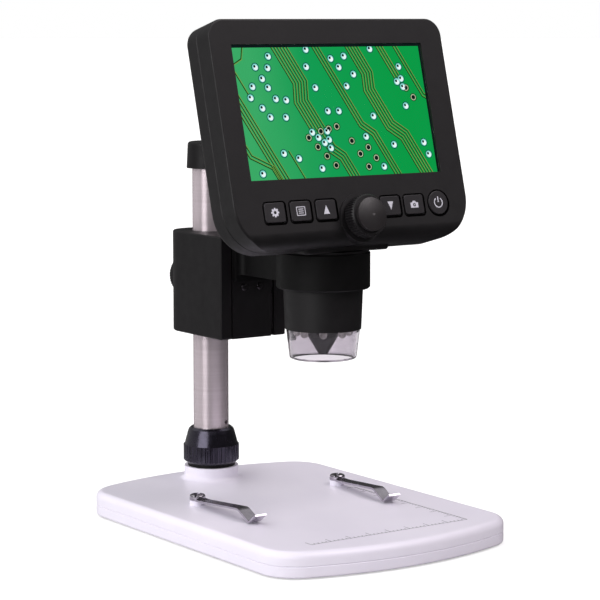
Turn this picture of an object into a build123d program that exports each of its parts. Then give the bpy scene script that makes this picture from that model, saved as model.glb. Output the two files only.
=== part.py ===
"""LCD digital microscope on a sliding stand: a flat stage with a steel column, a clamping
bracket with a rack-and-pinion carriage, and a lift-out microscope head with a tilted screen.

Millimetres. Origin: centre of the base on the table. +X right, +Y back, +Z up.
"""
import os
from math import acos, cos, pi, radians, sin, sqrt, tan

from build123d import *

os.makedirs("parts", exist_ok=True)

# ---------------------------------------------------------------- fits shared by many pieces
RUN = 0.05              # radial clearance of a shaft that turns or slides
FIT = 0.02              # clearance of a seated or pressed piece
GAP = 0.3               # air between two moving pieces that only pass each other
THREAD = 0.05           # clearance that stands for a thread
HOLE_PLAY = 0.1         # radial play of a screw in a plain hole
SCREW_RELIEF = 1.0      # empty thread ahead of a screw's tip
SKIN = 0.4              # wall left over the end of a blind hole
BITE = 0.5              # how far a joined form reaches into its neighbour
PAST = 1.0              # how far a cut runs past the face that it opens

# ---------------------------------------------------------------- base
BASE_WIDTH = 120.6
BASE_LENGTH = 174.3
BASE_TOP = 11.3         # stage surface above the table
BASE_BOW_RADIUS = 150.0  # front and back edges are shallow arcs
BASE_CORNER = 17.0
BASE_EDGE = 3.0         # rounding along the top edge
BASE_WALL = 2.2
PAN_TOP = 5.4           # seam between the cover and the pan
PAN_THICKNESS = 2.0
PAN_EDGE = 1.0
SEAM_CHAMFER = 0.3
FOOT_HEIGHT = 0.6       # feet stand proud of the pan by this much
FOOT_DEPTH = 1.0        # and sit this deep in it
FOOT_RADIUS = 6.0
FOOT_X = 42.0
FOOT_Y = 66.0
BASE_POST_RADIUS = 3.4
BASE_SCREW_X = 50.0
BASE_SCREW_Y = 56.0
BASE_SCREW_RADIUS = 1.4
BASE_SCREW_HEAD = 2.7
BASE_SCREW_HEAD_HEIGHT = 1.4
BASE_SCREW_SUNK = 0.1
BASE_SOCKET_RADIUS = 0.8
BASE_SOCKET_DEPTH = 0.8

# ---------------------------------------------------------------- column and its clamp nut
COLUMN_Y = 66.75
COLUMN_RADIUS = 8.0
COLUMN_WALL = 1.2
COLUMN_FOOT = 5.6       # lower end of the tube, inside the boss
COLUMN_TOP = 158.0
COLUMN_HOLE_RADIUS = 1.15
COLUMN_HOLE_Z = 37.4
COLUMN_HOLE_TURN = 27.0  # degrees right of straight forward
BOSS_RADIUS = 12.3
BOSS_TOP = 17.2
BOSS_FILLET = 2.4
SOCKET_RADIUS = 9.6
COLLET_FLANGE = 10.8
COLLET_FLANGE_HEIGHT = 1.5
COLLET_NECK = 10.1
COLLET_TOP = 32.6
COLLET_FOOT = 2.0       # lower end, above the end of the tube
COLLET_SLOT = 1.4
COLLET_SLOT_START = 2.0  # solid band above the flange
COLLET_SLOT_COUNT = 4
NUT_RADIUS = 12.7
NUT_RIB_DEPTH = 0.45
NUT_RIB_COUNT = 36
NUT_RIB_TOP = 27.0
NUT_TOP = 35.0
NUT_SHOULDER = 10.7
NUT_SKIRT = 11.3
NUT_SKIRT_RISE = 1.2
NUT_LIP = ((0.0, 2.2), (0.5, 0.9), (1.5, 0.0))  # in from the shoulder and down from the top
PLUG_TOP = 14.0
COLUMN_BOLT_RADIUS = 3.0
COLUMN_BOLT_HEAD = 5.0
COLUMN_BOLT_HEAD_HEIGHT = 1.8
CAP_BOTTOM = 153.3
CAP_TOP = 165.2
CAP_BOTTOM_RADIUS = 10.5
CAP_TOP_RADIUS = 9.9
CAP_EDGE = 1.5

# ---------------------------------------------------------------- stage clips
CLIP_X = 37.3
CLIP_Y = 19.8
CLIP_WIDTH = 5.6
CLIP_THICKNESS = 0.8
CLIP_EYE_RADIUS = 3.5
CLIP_POST_RADIUS = 3.4
CLIP_POST_TOP = 13.5
CLIP_FLAT = 6.0         # eye centre to the end of the flat part
CLIP_ARM = 35.4         # eye centre to the downward bend
CLIP_TOUCH = 43.8       # eye centre to the contact line
CLIP_TIP = 48.9         # eye centre to the raised tip
CLIP_ARM_RISE = 2.2
CLIP_TIP_RISE = 3.7
CLIP_BENDS = (1.4, 6.0, 1.4)  # radii at the flat part's end, the crest and the contact line
CLIP_SCREW_RADIUS = 1.4
CLIP_SCREW_HEAD = 3.4
CLIP_SCREW_HEAD_HEIGHT = 1.7
CLIP_SCREW_ROUND = 0.93
CLIP_SLOT_WIDTH = 0.9
CLIP_SLOT_DEPTH = 0.93
CLIP_SLOT_TURN = 40.0
CLIP_HOLE_FLOOR = 1.0   # solid left under the screw's hole
CLIP_LEFT_TURN = 0.0    # degrees from straight forward, as the clips rest
CLIP_RIGHT_TURN = -5.5

# ---------------------------------------------------------------- bracket that rides on the column
BLOCK_LEFT = 16.5       # from the column's axis to the left face
BLOCK_RIGHT = 18.0      # and to the right face
BLOCK_FRONT = 32.85
BLOCK_BACK = 80.8
BLOCK_BOTTOM = 79.8
BLOCK_TOP = 125.3
BLOCK_CORNER = 12.0
BLOCK_EDGE = 0.5
BUSH_WALL = 1.2
BUSH_SLIT = 1.2
BUSH_SLIT_TURN = 60.0
BUSH_SET_BACK = 0.2     # its ends lie this far inside the block
CLAMP_Z = 103.3
CLAMP_SCREW_RADIUS = 2.5
CLAMP_KNOB_RADIUS = 9.7
CLAMP_KNOB_END = 87.0
CLAMP_SCREW_SEAT = 4.0  # depth of the screw in its knob
CLAMP_TIP_GAP = 0.1     # the loose screw's tip stays this far off the bush
KNOB_BEVEL = 0.7
KNURL_DEPTH = 0.35
KNURL_COUNT = 48

# ---------------------------------------------------------------- carriage slide, rack and pinion
SLIDE_WIDTH = 20.3
SLIDE_DEPTH = 8.45
SLIDE_LIP = 2.8         # straight part of the slide before it flares
SLIDE_FLARE = 2.0
LEFT_GAP = 0.8          # open gap beside the slide on the left
RIGHT_GAP = 2.0         # and on the right, where the gib strip lies
FLANK_GAP = 0.15
GIB_THICKNESS = 1.5
GIB_SET_BACK = 1.0
GIB_END = 0.4           # its ends lie this far inside the block
GIB_SCREW_RADIUS = 1.5
GIB_SCREW_SUNK = 0.2
GIB_SOCKET_RADIUS = 0.75
GIB_SOCKET_DEPTH = 1.0
GIB_SCREW_Z = (90.0, 115.0)
RACK_MODULE = 0.7
PINION_TEETH = 14
RACK_LINE = 10.15       # pitch line behind the block's front face
RACK_WIDTH = 6.0
RACK_PLATE_WIDTH = 11.6
RACK_PLATE = 1.7
RACK_SCREW_X = 4.1
RACK_SCREW_Z = 102.6
RACK_SCREW_RADIUS = 1.0
RACK_SCREW_HEAD = 1.5
RACK_SCREW_PROUD = 0.5
RACK_SCREW_SUNK = 0.5
RACK_SCREW_ROUND = 0.4
RACK_SCREW_SLOT = 0.4   # width and depth of the slot
PINION_Z = 102.55
PINION_WIDTH = 7.0
SHAFT_RADIUS = 2.0
SHAFT_LEFT = -10.5
HEIGHT_KNOB_RADIUS = 9.0
HEIGHT_KNOB_LENGTH = 14.0
HEIGHT_KNOB_HUB = 5.5
HEIGHT_KNOB_HUB_LENGTH = 2.0

# ---------------------------------------------------------------- holder arm with its ring
BARREL_Y = -21.2        # optical axis
RING_BOTTOM = 107.6
RING_TOP = 123.2
RING_RADIUS = 19.9
RING_BORE = 18.5
RING_EDGE = 0.6
FLANGE_THICKNESS = 2.75
FLANGE_BOTTOM = 105.5
WEB_WIDTH = 14.0
WEB_BOTTOM = 108.6
WEB_FILLET = 3.0
ARM_SCREW_X = 8.4
ARM_SCREW_Z = (110.0, 121.0)
ARM_SCREW_RADIUS = 1.2
ARM_SCREW_HEAD = 2.2
ARM_SCREW_HEAD_HEIGHT = 1.8
ARM_SCREW_SUNK = 0.2
ARM_SOCKET_RADIUS = 0.96
ARM_SOCKET_DEPTH = 1.0
LINER_FLANGE = 0.7
LINER_FLANGE_RADIUS = 19.3

# ---------------------------------------------------------------- microscope head
HEAD_TILT = 15.0        # screen leans back from upright
HEAD_Y = -32.1          # centre of the window
HEAD_Z = 182.7
HEAD_WIDTH = 118.9
HEAD_SHIFT = 0.85       # the case is this far right of the window
HEAD_LEFT = HEAD_SHIFT - HEAD_WIDTH / 2
HEAD_RIGHT = HEAD_SHIFT + HEAD_WIDTH / 2
BEZEL_SIDE = 11.05       # mean width of the frame beside the window
WINDOW_WIDTH = HEAD_WIDTH - 2 * BEZEL_SIDE
WINDOW_HEIGHT = 56.2
HEAD_ABOVE = 38.8       # window centre to the top edge
HEAD_BELOW = 56.4       # window centre to the bottom edge
HEAD_THICKNESS = 18.9
SEAM_DEPTH = 9.3        # front face to the seam
HEAD_TOP_CORNER = 7.5
HEAD_BOTTOM_CORNER = 18.0
CHIN_RADIUS = 6.5
FACE_EDGE = 0.8
REAR_EDGE = 3.3
CASE_WALL = 2.0
SEAM_GROOVE = 0.25
WINDOW_RECESS = 1.0
GLASS_MARGIN = 1.4      # the window glass is larger than its opening by this much all round
NECK_BOTTOM = 124.0     # the boxy neck behind the screen that carries the barrel
NECK_HALF_WIDTH = 21.5
NECK_HALF_DEPTH = 18.2  # from the optical axis, to the front and to the back
NECK_FLOOR = 2.2
NECK_CORNER = 2.0
NECK_EDGE = 1.2
NECK_SHOULDER = 152.0   # top of the neck's upright back wall
NECK_SLOPE = 40.0       # degrees of the roof that rises from there to the case
NECK_ROOF_EDGE = 3.0

# ---------------------------------------------------------------- head, inside
DISPLAY_SIDE = 4.35     # panel's frame beside the window
DISPLAY_END = 5.5       # and above and below it
DISPLAY_THICKNESS = 3.0
BOARD_THICKNESS = 1.6
BOARD_LEFT_IN = 8.6     # main board's ends, in from the sides of the case
BOARD_RIGHT_IN = 7.3
BOARD_LOW = -26.0
BOARD_HIGH = 32.0
BOARD_DEPTH = 8.4
BOARD_POST_RADIUS = 2.2
CHIPS = ((-20, -7, -4, 9, 1.2), (0, 8, -2, 8, 1.0), (-34, -16, 24, 29, 1.6),
         (16, 30, -22, -18, 1.4), (-44, -38, -8, 4, 1.8))  # left, right, low, high, height
BOARD_POSTS = ((HEAD_LEFT + 12.6, 28.0), (HEAD_LEFT + 12.6, -22.0),
               (HEAD_RIGHT - 11.3, 28.0), (HEAD_RIGHT - 18.3, -22.5))
BATTERY_LENGTH = 62.0
BATTERY_HEIGHT = 42.0
BATTERY_THICKNESS = 4.2
BATTERY_CORNER = 2.0
BATTERY_X = -8.0
BATTERY_V = 8.0
USB_LENGTH = 9.0
USB_WIDTH = 7.8
USB_HEIGHT = 2.7
USB_V = 6.0
USB_SHELL = 0.4
USB_BACK = 1.5
USB_TONGUE_WIDTH = 4.8
USB_TONGUE_DROP = 1.0   # top of the socket to the tongue
USB_TONGUE = 0.6
CARD_LENGTH = 13.0
CARD_WIDTH = 14.0
CARD_HEIGHT = 1.7
CARD_V = -12.0
CARD_SHELL = 0.4
CARD_SIDE = 1.3
CARD_BACK = 1.0
SOCKET_SET_BACK = 1.4   # sockets end this far inside the case's side
CASE_BOSS_IN = 3.65     # upper screw bosses, in from the side of the case
CASE_BOSS_HIGH = 30.0
CASE_BOSS_MID = -24.0
CASE_LOW_IN = 18.45     # lower screw bosses
CASE_LOW_V = -52.1
CASE_BOSS_RADIUS = 2.1
CASE_POST_RADIUS = 2.9
CASE_SCREW_RADIUS = 1.0
CASE_SCREW_HEAD = 1.8
CASE_SCREW_HEAD_HEIGHT = 1.2
CASE_SCREW_SINK = 4.0   # depth of the counterbore in the back
CASE_SCREW_LENGTH = 10.0
CASE_SOCKET_DEPTH = 0.7
SMALL_SCREW_RADIUS = 0.8
SMALL_SCREW_HEAD = 1.5
SMALL_SCREW_HEAD_HEIGHT = 0.8
SMALL_SCREW_LENGTH = 4.0
SMALL_SOCKET_DEPTH = 0.4

# ---------------------------------------------------------------- keys and focus dial
KEY_V = -41.5
KEY_WIDTH = 9.8
KEY_HEIGHT = 8.1
KEY_CORNER = 1.2
KEY_GAP = 0.3
KEY_PROUD = 0.4
KEY_EDGE = 0.24
KEY_TRAVEL = 0.5
KEY_FLANGE = 0.6
KEY_FLANGE_THICKNESS = 1.0
KEY_STEM_RADIUS = 1.8
KEY_PLAY = 0.1          # air above the flange and under the stem
SETTINGS_KEY_X = -39.5
MENU_KEY_X = -26.8
UP_KEY_X = -14.1
DOWN_KEY_X = 18.9
CAMERA_KEY_X = 31.3
POWER_KEY_X = 44.2
POWER_KEY_V = -41.3
POWER_KEY_RADIUS = 5.0
KEY_BOARD_DEPTH = 7.0
KEY_BOARD_THICKNESS = 1.2
KEY_BOARD_LEFT_IN = 12.6
KEY_BOARD_RIGHT_IN = 9.8
KEY_BOARD_LOW = -49.8
KEY_BOARD_HIGH = -37.0
KEY_BOARD_POSTS = (-33.1, 12.0, 37.8)
KEY_BOARD_POST_V = -48.0
KEY_BOARD_POST_RADIUS = 1.5
KEY_BOARD_NOTCH = 2.8   # the focus rack's notch starts this far above the dial's axis
SWITCH_SIZE = 5.2
SWITCH_HEIGHT = 1.5
SWITCH_BODY_HEIGHT = 1.0
SWITCH_BUTTON_RADIUS = 1.6
DIAL_X = 2.4
DIAL_V = -45.8
DIAL_RADIUS = 8.9
DIAL_BACK = 1.2
DIAL_FRONT = 7.3
DIAL_CAP_RADIUS = 7.0
DIAL_CAP_FRONT = 9.9
DIAL_CAP_SEAT = 5.0
DIAL_CAP_EDGE = 0.9
DIAL_SHAFT_RADIUS = 1.5
DIAL_BOSS_RADIUS = 4.0
DIAL_BOSS_DEPTH = 6.6
DIAL_LIP_RADIUS = 10.3
DIAL_LIP = 0.9
DIAL_LIP_ROOT = 6.0     # depth of the lip's ring where the chin curves away

# ---------------------------------------------------------------- optics
BARREL_TOP_RADIUS = 16.9
BARREL_BOTTOM_RADIUS = 16.2
BARREL_BOTTOM = 90.2
BARREL_TAPER_TOP = 107.5
BARREL_BORE = 15.25
BARREL_UPPER_BORE = 12.7
BARREL_RIM_BOTTOM = 119.0  # thick rim at the top that takes the screws
BARREL_SCREW_RING = 15.0
SEPTUM_BOTTOM = 95.4
SEPTUM_THICKNESS = 2.0
GUIDE_BOTTOM = 111.0
GUIDE_TOP = 120.0
LED_BOARD_BOTTOM = 90.6
LED_BOARD_THICKNESS = 1.2
LED_BOARD_RADIUS = 14.1
LED_POST_RING = 10.2
LED_POST_RADIUS = 1.1
LED_POST_COUNT = 3
LED_POST_TURN = 30.0
LED_RING_RADIUS = 11.0
LED_RADIUS = 1.6
LED_LENGTH = 3.5
LED_COUNT = 8
LED_TURN = 10.0         # degrees that the ring is turned from straight ahead
HOOD_RADIUS = 6.3
HOOD_KNEE = 87.0
HOOD_BOTTOM = 79.6
HOOD_NOSE = 1.9
HOOD_WALL = 0.8
HOOD_FLANGE = 8.6
CARRIER_RADIUS = 9.5
CARRIER_BORE = 8.0
CARRIER_BOTTOM = 106.2
CARRIER_TOP = 140.0
FOCUS_RACK_LEFT = -5.0
FOCUS_RACK_FRONT = -34.8
FOCUS_RACK_BOTTOM = 129.4
FOCUS_RACK_TOP = 142.2
LENS_RADIUS = 7.9
FRONT_LENS_Z = 108.0
REAR_LENS_Z = 126.0
LENS_BULGE = 1.2
LENS_EDGE = 1.4
LENS_LIP = 0.8          # width of the step that each lens rests on
LENS_LIP_HEIGHT = 1.0
FOCUS_MODULE = 0.5
FOCUS_TEETH = 16
FOCUS_PINION_FRONT = 8.5   # behind the face
FOCUS_PINION_BACK = 12.0
FOCUS_SHAFT_END = 0.4   # shaft behind the pinion
SENSOR_BOARD_Z = 148.2
SENSOR_BOARD_THICKNESS = 1.2
SENSOR_BOARD_HALF_X = 14.0
SENSOR_BOARD_HALF_Y = 7.2
SENSOR_SIZE = 7.0
SENSOR_HEIGHT = 1.2
SENSOR_POST_X = 12.0
SENSOR_POST_RADIUS = 1.8
SHADE_RADIUS = 15.65    # clear shade that plugs into the barrel
SHADE_RIM_HEIGHT = 3.8
SHADE_FOOT_RADIUS = 14.4
SHADE_FOOT = 77.5
SHADE_WALL = 0.9
SHADE_FLOOR = 1.0
SHADE_OPENING = 12.9
SHADE_FLARE = 0.2       # the foot is this much narrower at its floor
SHADE_RIM_ROOT = 1.0
SHADE_ROUND = 1.3

# ---------------------------------------------------------------- gear teeth
PRESSURE_ANGLE = radians(20.0)
TOOTH_ADDENDUM = 0.9
RACK_ADDENDUM = 0.8
TOOTH_DEDENDUM = 1.2
TOOTH_SHAVE = 0.06      # each flank is cut back by this for backlash
FLANK_STEP_COUNT = 5

# ================================================================ values worked out from the above
PAN_BOTTOM = FOOT_HEIGHT
COVER_CEILING = BASE_TOP - BASE_WALL
PAN_FLOOR = PAN_BOTTOM + PAN_THICKNESS
SLIDE_BACK = BLOCK_FRONT + SLIDE_DEPTH
RACK_PITCH_Y = BLOCK_FRONT + RACK_LINE
PINION_RADIUS = RACK_MODULE * PINION_TEETH / 2
PINION_Y = RACK_PITCH_Y + PINION_RADIUS
SLIDE_HALF = SLIDE_WIDTH / 2
BUSH_RADIUS = COLUMN_RADIUS + RUN + BUSH_WALL
FLANGE_FRONT = BLOCK_FRONT - FLANGE_THICKNESS
FOCUS_PINION_RADIUS = FOCUS_MODULE * FOCUS_TEETH / 2
CLIP_BASE_Z = CLIP_POST_TOP + FIT
NECK_FRONT = BARREL_Y - NECK_HALF_DEPTH
NECK_BACK = BARREL_Y + NECK_HALF_DEPTH
NECK_FLOOR_TOP = NECK_BOTTOM + NECK_FLOOR


# ================================================================ small building blocks
def brick(x0, x1, y0, y1, z0, z1):
    """Box between two corners."""
    return Pos((x0 + x1) / 2, (y0 + y1) / 2, (z0 + z1) / 2) * Box(x1 - x0, y1 - y0, z1 - z0)


def rod(x, y, z0, z1, radius):
    """Upright cylinder."""
    return Pos(x, y, (z0 + z1) / 2) * Cylinder(radius, z1 - z0)


def pipe(x, y, z0, z1, outer, inner):
    """Upright tube."""
    return rod(x, y, z0, z1, outer) - rod(x, y, z0, z1, inner)


def rod_x(x0, x1, y, z, radius):
    """Cylinder along X."""
    return Pos((x0 + x1) / 2, y, z) * Rot(0, 90, 0) * Cylinder(radius, x1 - x0)


def rod_y(y0, y1, x, z, radius):
    """Cylinder along Y."""
    return Pos(x, (y0 + y1) / 2, z) * Rot(90, 0, 0) * Cylinder(radius, y1 - y0)


def turned(points, x=0.0, y=0.0):
    """Solid of revolution about an upright axis, from (radius, height) points."""
    outline = make_face(Plane.XZ * Polyline(*points, close=True))
    return Pos(x, y, 0) * revolve(outline, Axis.Z)


def ribbed(radius, depth, count, height):
    """Disc whose rim has straight ribs, standing on z = 0."""
    points = []
    for rib in range(count):
        for share, edge in ((0.0, radius), (0.45, radius), (0.6, radius - depth), (0.85, radius - depth)):
            angle = 2 * pi * (rib + share) / count
            points.append((edge * cos(angle), edge * sin(angle)))
    return extrude(make_face(Polyline(*points, close=True)), height)


def knurled(radius, height, edge):
    """Knurled grip standing on z = 0, with both rims bevelled."""
    core = turned([(0, 0), (radius - edge, 0), (radius, edge), (radius, height - edge),
                   (radius - edge, height), (0, height)])
    return ribbed(radius, KNURL_DEPTH, KNURL_COUNT, height) & core


def involute(angle):
    """Involute function of a pressure angle."""
    return tan(angle) - angle


def spur_gear(module, teeth, width, bore):
    """Involute gear standing on z = 0, with one tooth centred on +X."""
    pitch = module * teeth / 2
    base = pitch * cos(PRESSURE_ANGLE)
    tip = pitch + TOOTH_ADDENDUM * module
    root = pitch - TOOTH_DEDENDUM * module
    half = pi / (2 * teeth) + involute(PRESSURE_ANGLE) - TOOTH_SHAVE / pitch
    flank = [(root, half)]
    for step in range(FLANK_STEP_COUNT + 1):
        radius = base + (tip - base) * step / FLANK_STEP_COUNT
        flank.append((radius, half - involute(acos(base / radius))))
    points = []
    for tooth in range(teeth):
        centre = 2 * pi * tooth / teeth
        for radius, offset in flank:
            points.append((radius * cos(centre - offset), radius * sin(centre - offset)))
        for radius, offset in reversed(flank):
            points.append((radius * cos(centre + offset), radius * sin(centre + offset)))
    return extrude(make_face(Polyline(*points, close=True)), width) - rod(0, 0, 0, width, bore)


def rack_outline(module, low, high, back):
    """Closed outline of a toothed bar along Y; teeth point to +X, pitch line on X = 0,
    with a gap centred on Y = 0."""
    pitch = pi * module
    tip = RACK_ADDENDUM * module
    root = -TOOTH_DEDENDUM * module
    points = [(back, low), (root, low)]
    count = int(max(abs(low), abs(high)) / pitch) + 1
    for tooth in range(-count, count):
        centre = (tooth + 0.5) * pitch
        at_root = pitch / 4 - TOOTH_SHAVE - root * tan(PRESSURE_ANGLE)
        at_tip = pitch / 4 - TOOTH_SHAVE - tip * tan(PRESSURE_ANGLE)
        if centre - at_root > low and centre + at_root < high:
            points += [(root, centre - at_root), (tip, centre - at_tip)]
            points += [(tip, centre + at_tip), (root, centre + at_root)]
    points += [(root, high), (back, high)]
    return make_face(Polyline(*points, close=True))


def named(shape, name, colour):
    """Gives a piece its name and a working colour."""
    shape.label = name
    shape.color = Color(*colour)
    return shape


PIECES = {}


def keep(name, shape, colour=(0.2, 0.2, 0.22)):
    """Files a finished piece, one solid or a group of like solids."""
    PIECES[name] = named(shape, name, colour)


BLACK = (0.12, 0.12, 0.13)
WHITE = (0.93, 0.93, 0.95)
STEEL = (0.75, 0.75, 0.77)
BRASS = (0.80, 0.65, 0.30)
CLEAR = (0.80, 0.86, 0.90)
GREEN = (0.10, 0.45, 0.20)


# ================================================================ base
def base_outline(inset=0.0):
    """Plan of the base: straight sides, bowed front and back, round corners."""
    half_x = BASE_WIDTH / 2 - inset
    half_y = BASE_LENGTH / 2 - inset
    bow = BASE_BOW_RADIUS - sqrt(BASE_BOW_RADIUS ** 2 - (BASE_WIDTH / 2) ** 2)
    side = half_y - bow * (half_x * 2 / BASE_WIDTH) ** 2
    front = ThreePointArc((-half_x, -side), (0, -half_y), (half_x, -side))
    right = Line((half_x, -side), (half_x, side))
    back = ThreePointArc((half_x, side), (0, half_y), (-half_x, side))
    left = Line((-half_x, side), (-half_x, -side))
    face = make_face([front, right, back, left])
    return fillet(face.vertices(), BASE_CORNER - inset)


def base_screw_places():
    return [(sx * BASE_SCREW_X, sy * BASE_SCREW_Y) for sx in (-1, 1) for sy in (-1, 1)]


def make_base_cover():
    shell = Pos(0, 0, PAN_TOP) * extrude(base_outline(), BASE_TOP - PAN_TOP)
    shell = fillet(shell.faces().sort_by(Axis.Z)[-1].edges(), BASE_EDGE)
    shell += rod(0, COLUMN_Y, BASE_TOP - BITE, BOSS_TOP, BOSS_RADIUS)
    foot = [e for e in shell.edges().filter_by(GeomType.CIRCLE)
            if abs(e.radius - BOSS_RADIUS) < 0.01 and abs(e.center().Z - BASE_TOP) < 0.01]
    shell = fillet(foot, BOSS_FILLET)
    shell = chamfer(shell.faces().sort_by(Axis.Z)[0].edges(), SEAM_CHAMFER)
    shell -= Pos(0, 0, PAN_TOP) * extrude(base_outline(BASE_WALL), COVER_CEILING - PAN_TOP)
    for x, y in base_screw_places():
        shell += rod(x, y, PAN_FLOOR + FIT, COVER_CEILING, BASE_POST_RADIUS)
        shell -= rod(x, y, PAN_FLOOR + FIT, COVER_CEILING - SKIN, BASE_SCREW_RADIUS + THREAD)
    for side in (-1, 1):
        x = side * CLIP_X
        shell += rod(x, CLIP_Y, BASE_TOP - BITE, CLIP_POST_TOP, CLIP_POST_RADIUS)
        shell += rod(x, CLIP_Y, PAN_TOP, COVER_CEILING, CLIP_POST_RADIUS)
        shell -= rod(x, CLIP_Y, PAN_TOP + CLIP_HOLE_FLOOR, CLIP_POST_TOP, CLIP_SCREW_RADIUS + THREAD)
    floor = COLUMN_FOOT - FIT
    shell += rod(0, COLUMN_Y, PAN_FLOOR + FIT, COVER_CEILING, BOSS_RADIUS)
    shell -= rod(0, COLUMN_Y, floor, BOSS_TOP, SOCKET_RADIUS + FIT)
    shell -= rod(0, COLUMN_Y, PAN_FLOOR, floor, COLUMN_BOLT_RADIUS + GAP)
    return shell


def make_base_pan():
    pan = Pos(0, 0, PAN_BOTTOM) * extrude(base_outline(), PAN_TOP - FIT - PAN_BOTTOM)
    pan = fillet(pan.faces().sort_by(Axis.Z)[0].edges(), PAN_EDGE)
    pan = chamfer(pan.faces().sort_by(Axis.Z)[-1].edges(), SEAM_CHAMFER)
    pan -= Pos(0, 0, PAN_FLOOR) * extrude(base_outline(BASE_WALL), PAN_TOP)
    for x, y in base_screw_places():
        pan -= rod(x, y, PAN_BOTTOM, PAN_FLOOR, BASE_SCREW_RADIUS + GAP)
        pan -= rod(x, y, PAN_BOTTOM, PAN_BOTTOM + BASE_SCREW_HEAD_HEIGHT, BASE_SCREW_HEAD + FIT)
    for sx in (-1, 1):
        for sy in (-1, 1):
            pan -= rod(sx * FOOT_X, sy * FOOT_Y, PAN_BOTTOM, PAN_BOTTOM + FOOT_DEPTH, FOOT_RADIUS + FIT)
    pan -= rod(0, COLUMN_Y, PAN_BOTTOM, PAN_FLOOR, COLUMN_BOLT_HEAD + GAP)
    return pan


def make_base_feet():
    feet = []
    for sx in (-1, 1):
        for sy in (-1, 1):
            foot = rod(sx * FOOT_X, sy * FOOT_Y, 0, PAN_BOTTOM + FOOT_DEPTH - FIT, FOOT_RADIUS)
            feet.append(fillet(foot.faces().sort_by(Axis.Z)[0].edges(), FOOT_HEIGHT / 2))
    return Compound(children=feet)


def make_base_screws():
    screws = []
    for x, y in base_screw_places():
        low = PAN_BOTTOM + BASE_SCREW_SUNK
        screw = rod(x, y, low, PAN_BOTTOM + BASE_SCREW_HEAD_HEIGHT - FIT, BASE_SCREW_HEAD)
        screw += rod(x, y, low, COVER_CEILING - SCREW_RELIEF, BASE_SCREW_RADIUS)
        screw -= rod(x, y, low, low + BASE_SOCKET_DEPTH, BASE_SOCKET_RADIUS)
        screws.append(screw)
    return Compound(children=screws)


keep("base_cover", make_base_cover(), WHITE)
keep("base_pan", make_base_pan(), WHITE)
keep("base_feet", make_base_feet(), BLACK)
keep("base_screws", make_base_screws(), STEEL)


# ================================================================ column
def make_column_tube():
    tube = pipe(0, COLUMN_Y, COLUMN_FOOT, COLUMN_TOP, COLUMN_RADIUS, COLUMN_RADIUS - COLUMN_WALL)
    drill = Pos(0, COLUMN_Y, COLUMN_HOLE_Z) * Rot(0, 0, COLUMN_HOLE_TURN) * rod_y(
        -COLUMN_RADIUS - PAST, -COLUMN_RADIUS + COLUMN_WALL + PAST, 0, 0, COLUMN_HOLE_RADIUS)
    return tube - drill


def make_column_plug():
    plug = rod(0, COLUMN_Y, COLUMN_FOOT, PLUG_TOP, COLUMN_RADIUS - COLUMN_WALL - FIT)
    return plug - rod(0, COLUMN_Y, COLUMN_FOOT, PLUG_TOP, COLUMN_BOLT_RADIUS + THREAD)


def make_column_bolt():
    bolt = rod(0, COLUMN_Y, PAN_FLOOR - COLUMN_BOLT_HEAD_HEIGHT, PAN_FLOOR, COLUMN_BOLT_HEAD)
    return bolt + rod(0, COLUMN_Y, PAN_FLOOR - BITE, PLUG_TOP - SCREW_RELIEF, COLUMN_BOLT_RADIUS)


def make_collet():
    low = COLUMN_FOOT + COLLET_FOOT
    sleeve = rod(0, COLUMN_Y, low, BOSS_TOP, SOCKET_RADIUS)
    sleeve += rod(0, COLUMN_Y, BOSS_TOP, BOSS_TOP + COLLET_FLANGE_HEIGHT, COLLET_FLANGE)
    sleeve += rod(0, COLUMN_Y, BOSS_TOP, COLLET_TOP, COLLET_NECK)
    sleeve -= rod(0, COLUMN_Y, low, COLLET_TOP, COLUMN_RADIUS + FIT)
    for slot in range(COLLET_SLOT_COUNT):
        cut = brick(0, COLLET_FLANGE, -COLLET_SLOT / 2, COLLET_SLOT / 2,
                    BOSS_TOP + COLLET_FLANGE_HEIGHT + COLLET_SLOT_START, COLLET_TOP)
        sleeve -= Pos(0, COLUMN_Y, 0) * Rot(0, 0, 45 + slot * 360 / COLLET_SLOT_COUNT) * cut
    return sleeve


def make_lock_nut():
    low = BOSS_TOP + COLLET_FLANGE_HEIGHT + RUN
    skirt_top = low + NUT_SKIRT_RISE
    ribs = Pos(0, COLUMN_Y, low) * ribbed(NUT_RADIUS, NUT_RIB_DEPTH, NUT_RIB_COUNT, NUT_RIB_TOP - low)
    envelope = turned([(0, low), (NUT_SKIRT, low), (NUT_RADIUS, skirt_top), (NUT_RADIUS, NUT_RIB_TOP),
                       (0, NUT_RIB_TOP)], 0, COLUMN_Y)
    lip = [(NUT_SHOULDER - inward, NUT_TOP - down) for inward, down in NUT_LIP]
    cone = turned([(0, NUT_RIB_TOP), (NUT_RADIUS - NUT_RIB_DEPTH, NUT_RIB_TOP), *lip, (0, NUT_TOP)],
                  0, COLUMN_Y)
    nut = (ribs & envelope) + cone
    nut -= rod(0, COLUMN_Y, low, COLLET_TOP + GAP, COLLET_NECK + THREAD)
    nut -= rod(0, COLUMN_Y, low, NUT_TOP, COLUMN_RADIUS + RUN)
    return nut


def make_column_cap():
    slope = (CAP_BOTTOM_RADIUS - CAP_TOP_RADIUS) / (CAP_TOP - CAP_BOTTOM)
    cap = turned([(0, CAP_BOTTOM), (CAP_BOTTOM_RADIUS, CAP_BOTTOM),
                  (CAP_TOP_RADIUS + slope, CAP_TOP), (0, CAP_TOP)], 0, COLUMN_Y)
    cap = fillet(cap.faces().sort_by(Axis.Z)[-1].edges(), CAP_EDGE)
    cap -= pipe(0, COLUMN_Y, CAP_BOTTOM, COLUMN_TOP + FIT,
                COLUMN_RADIUS + FIT, COLUMN_RADIUS - COLUMN_WALL - FIT)
    return cap


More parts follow.
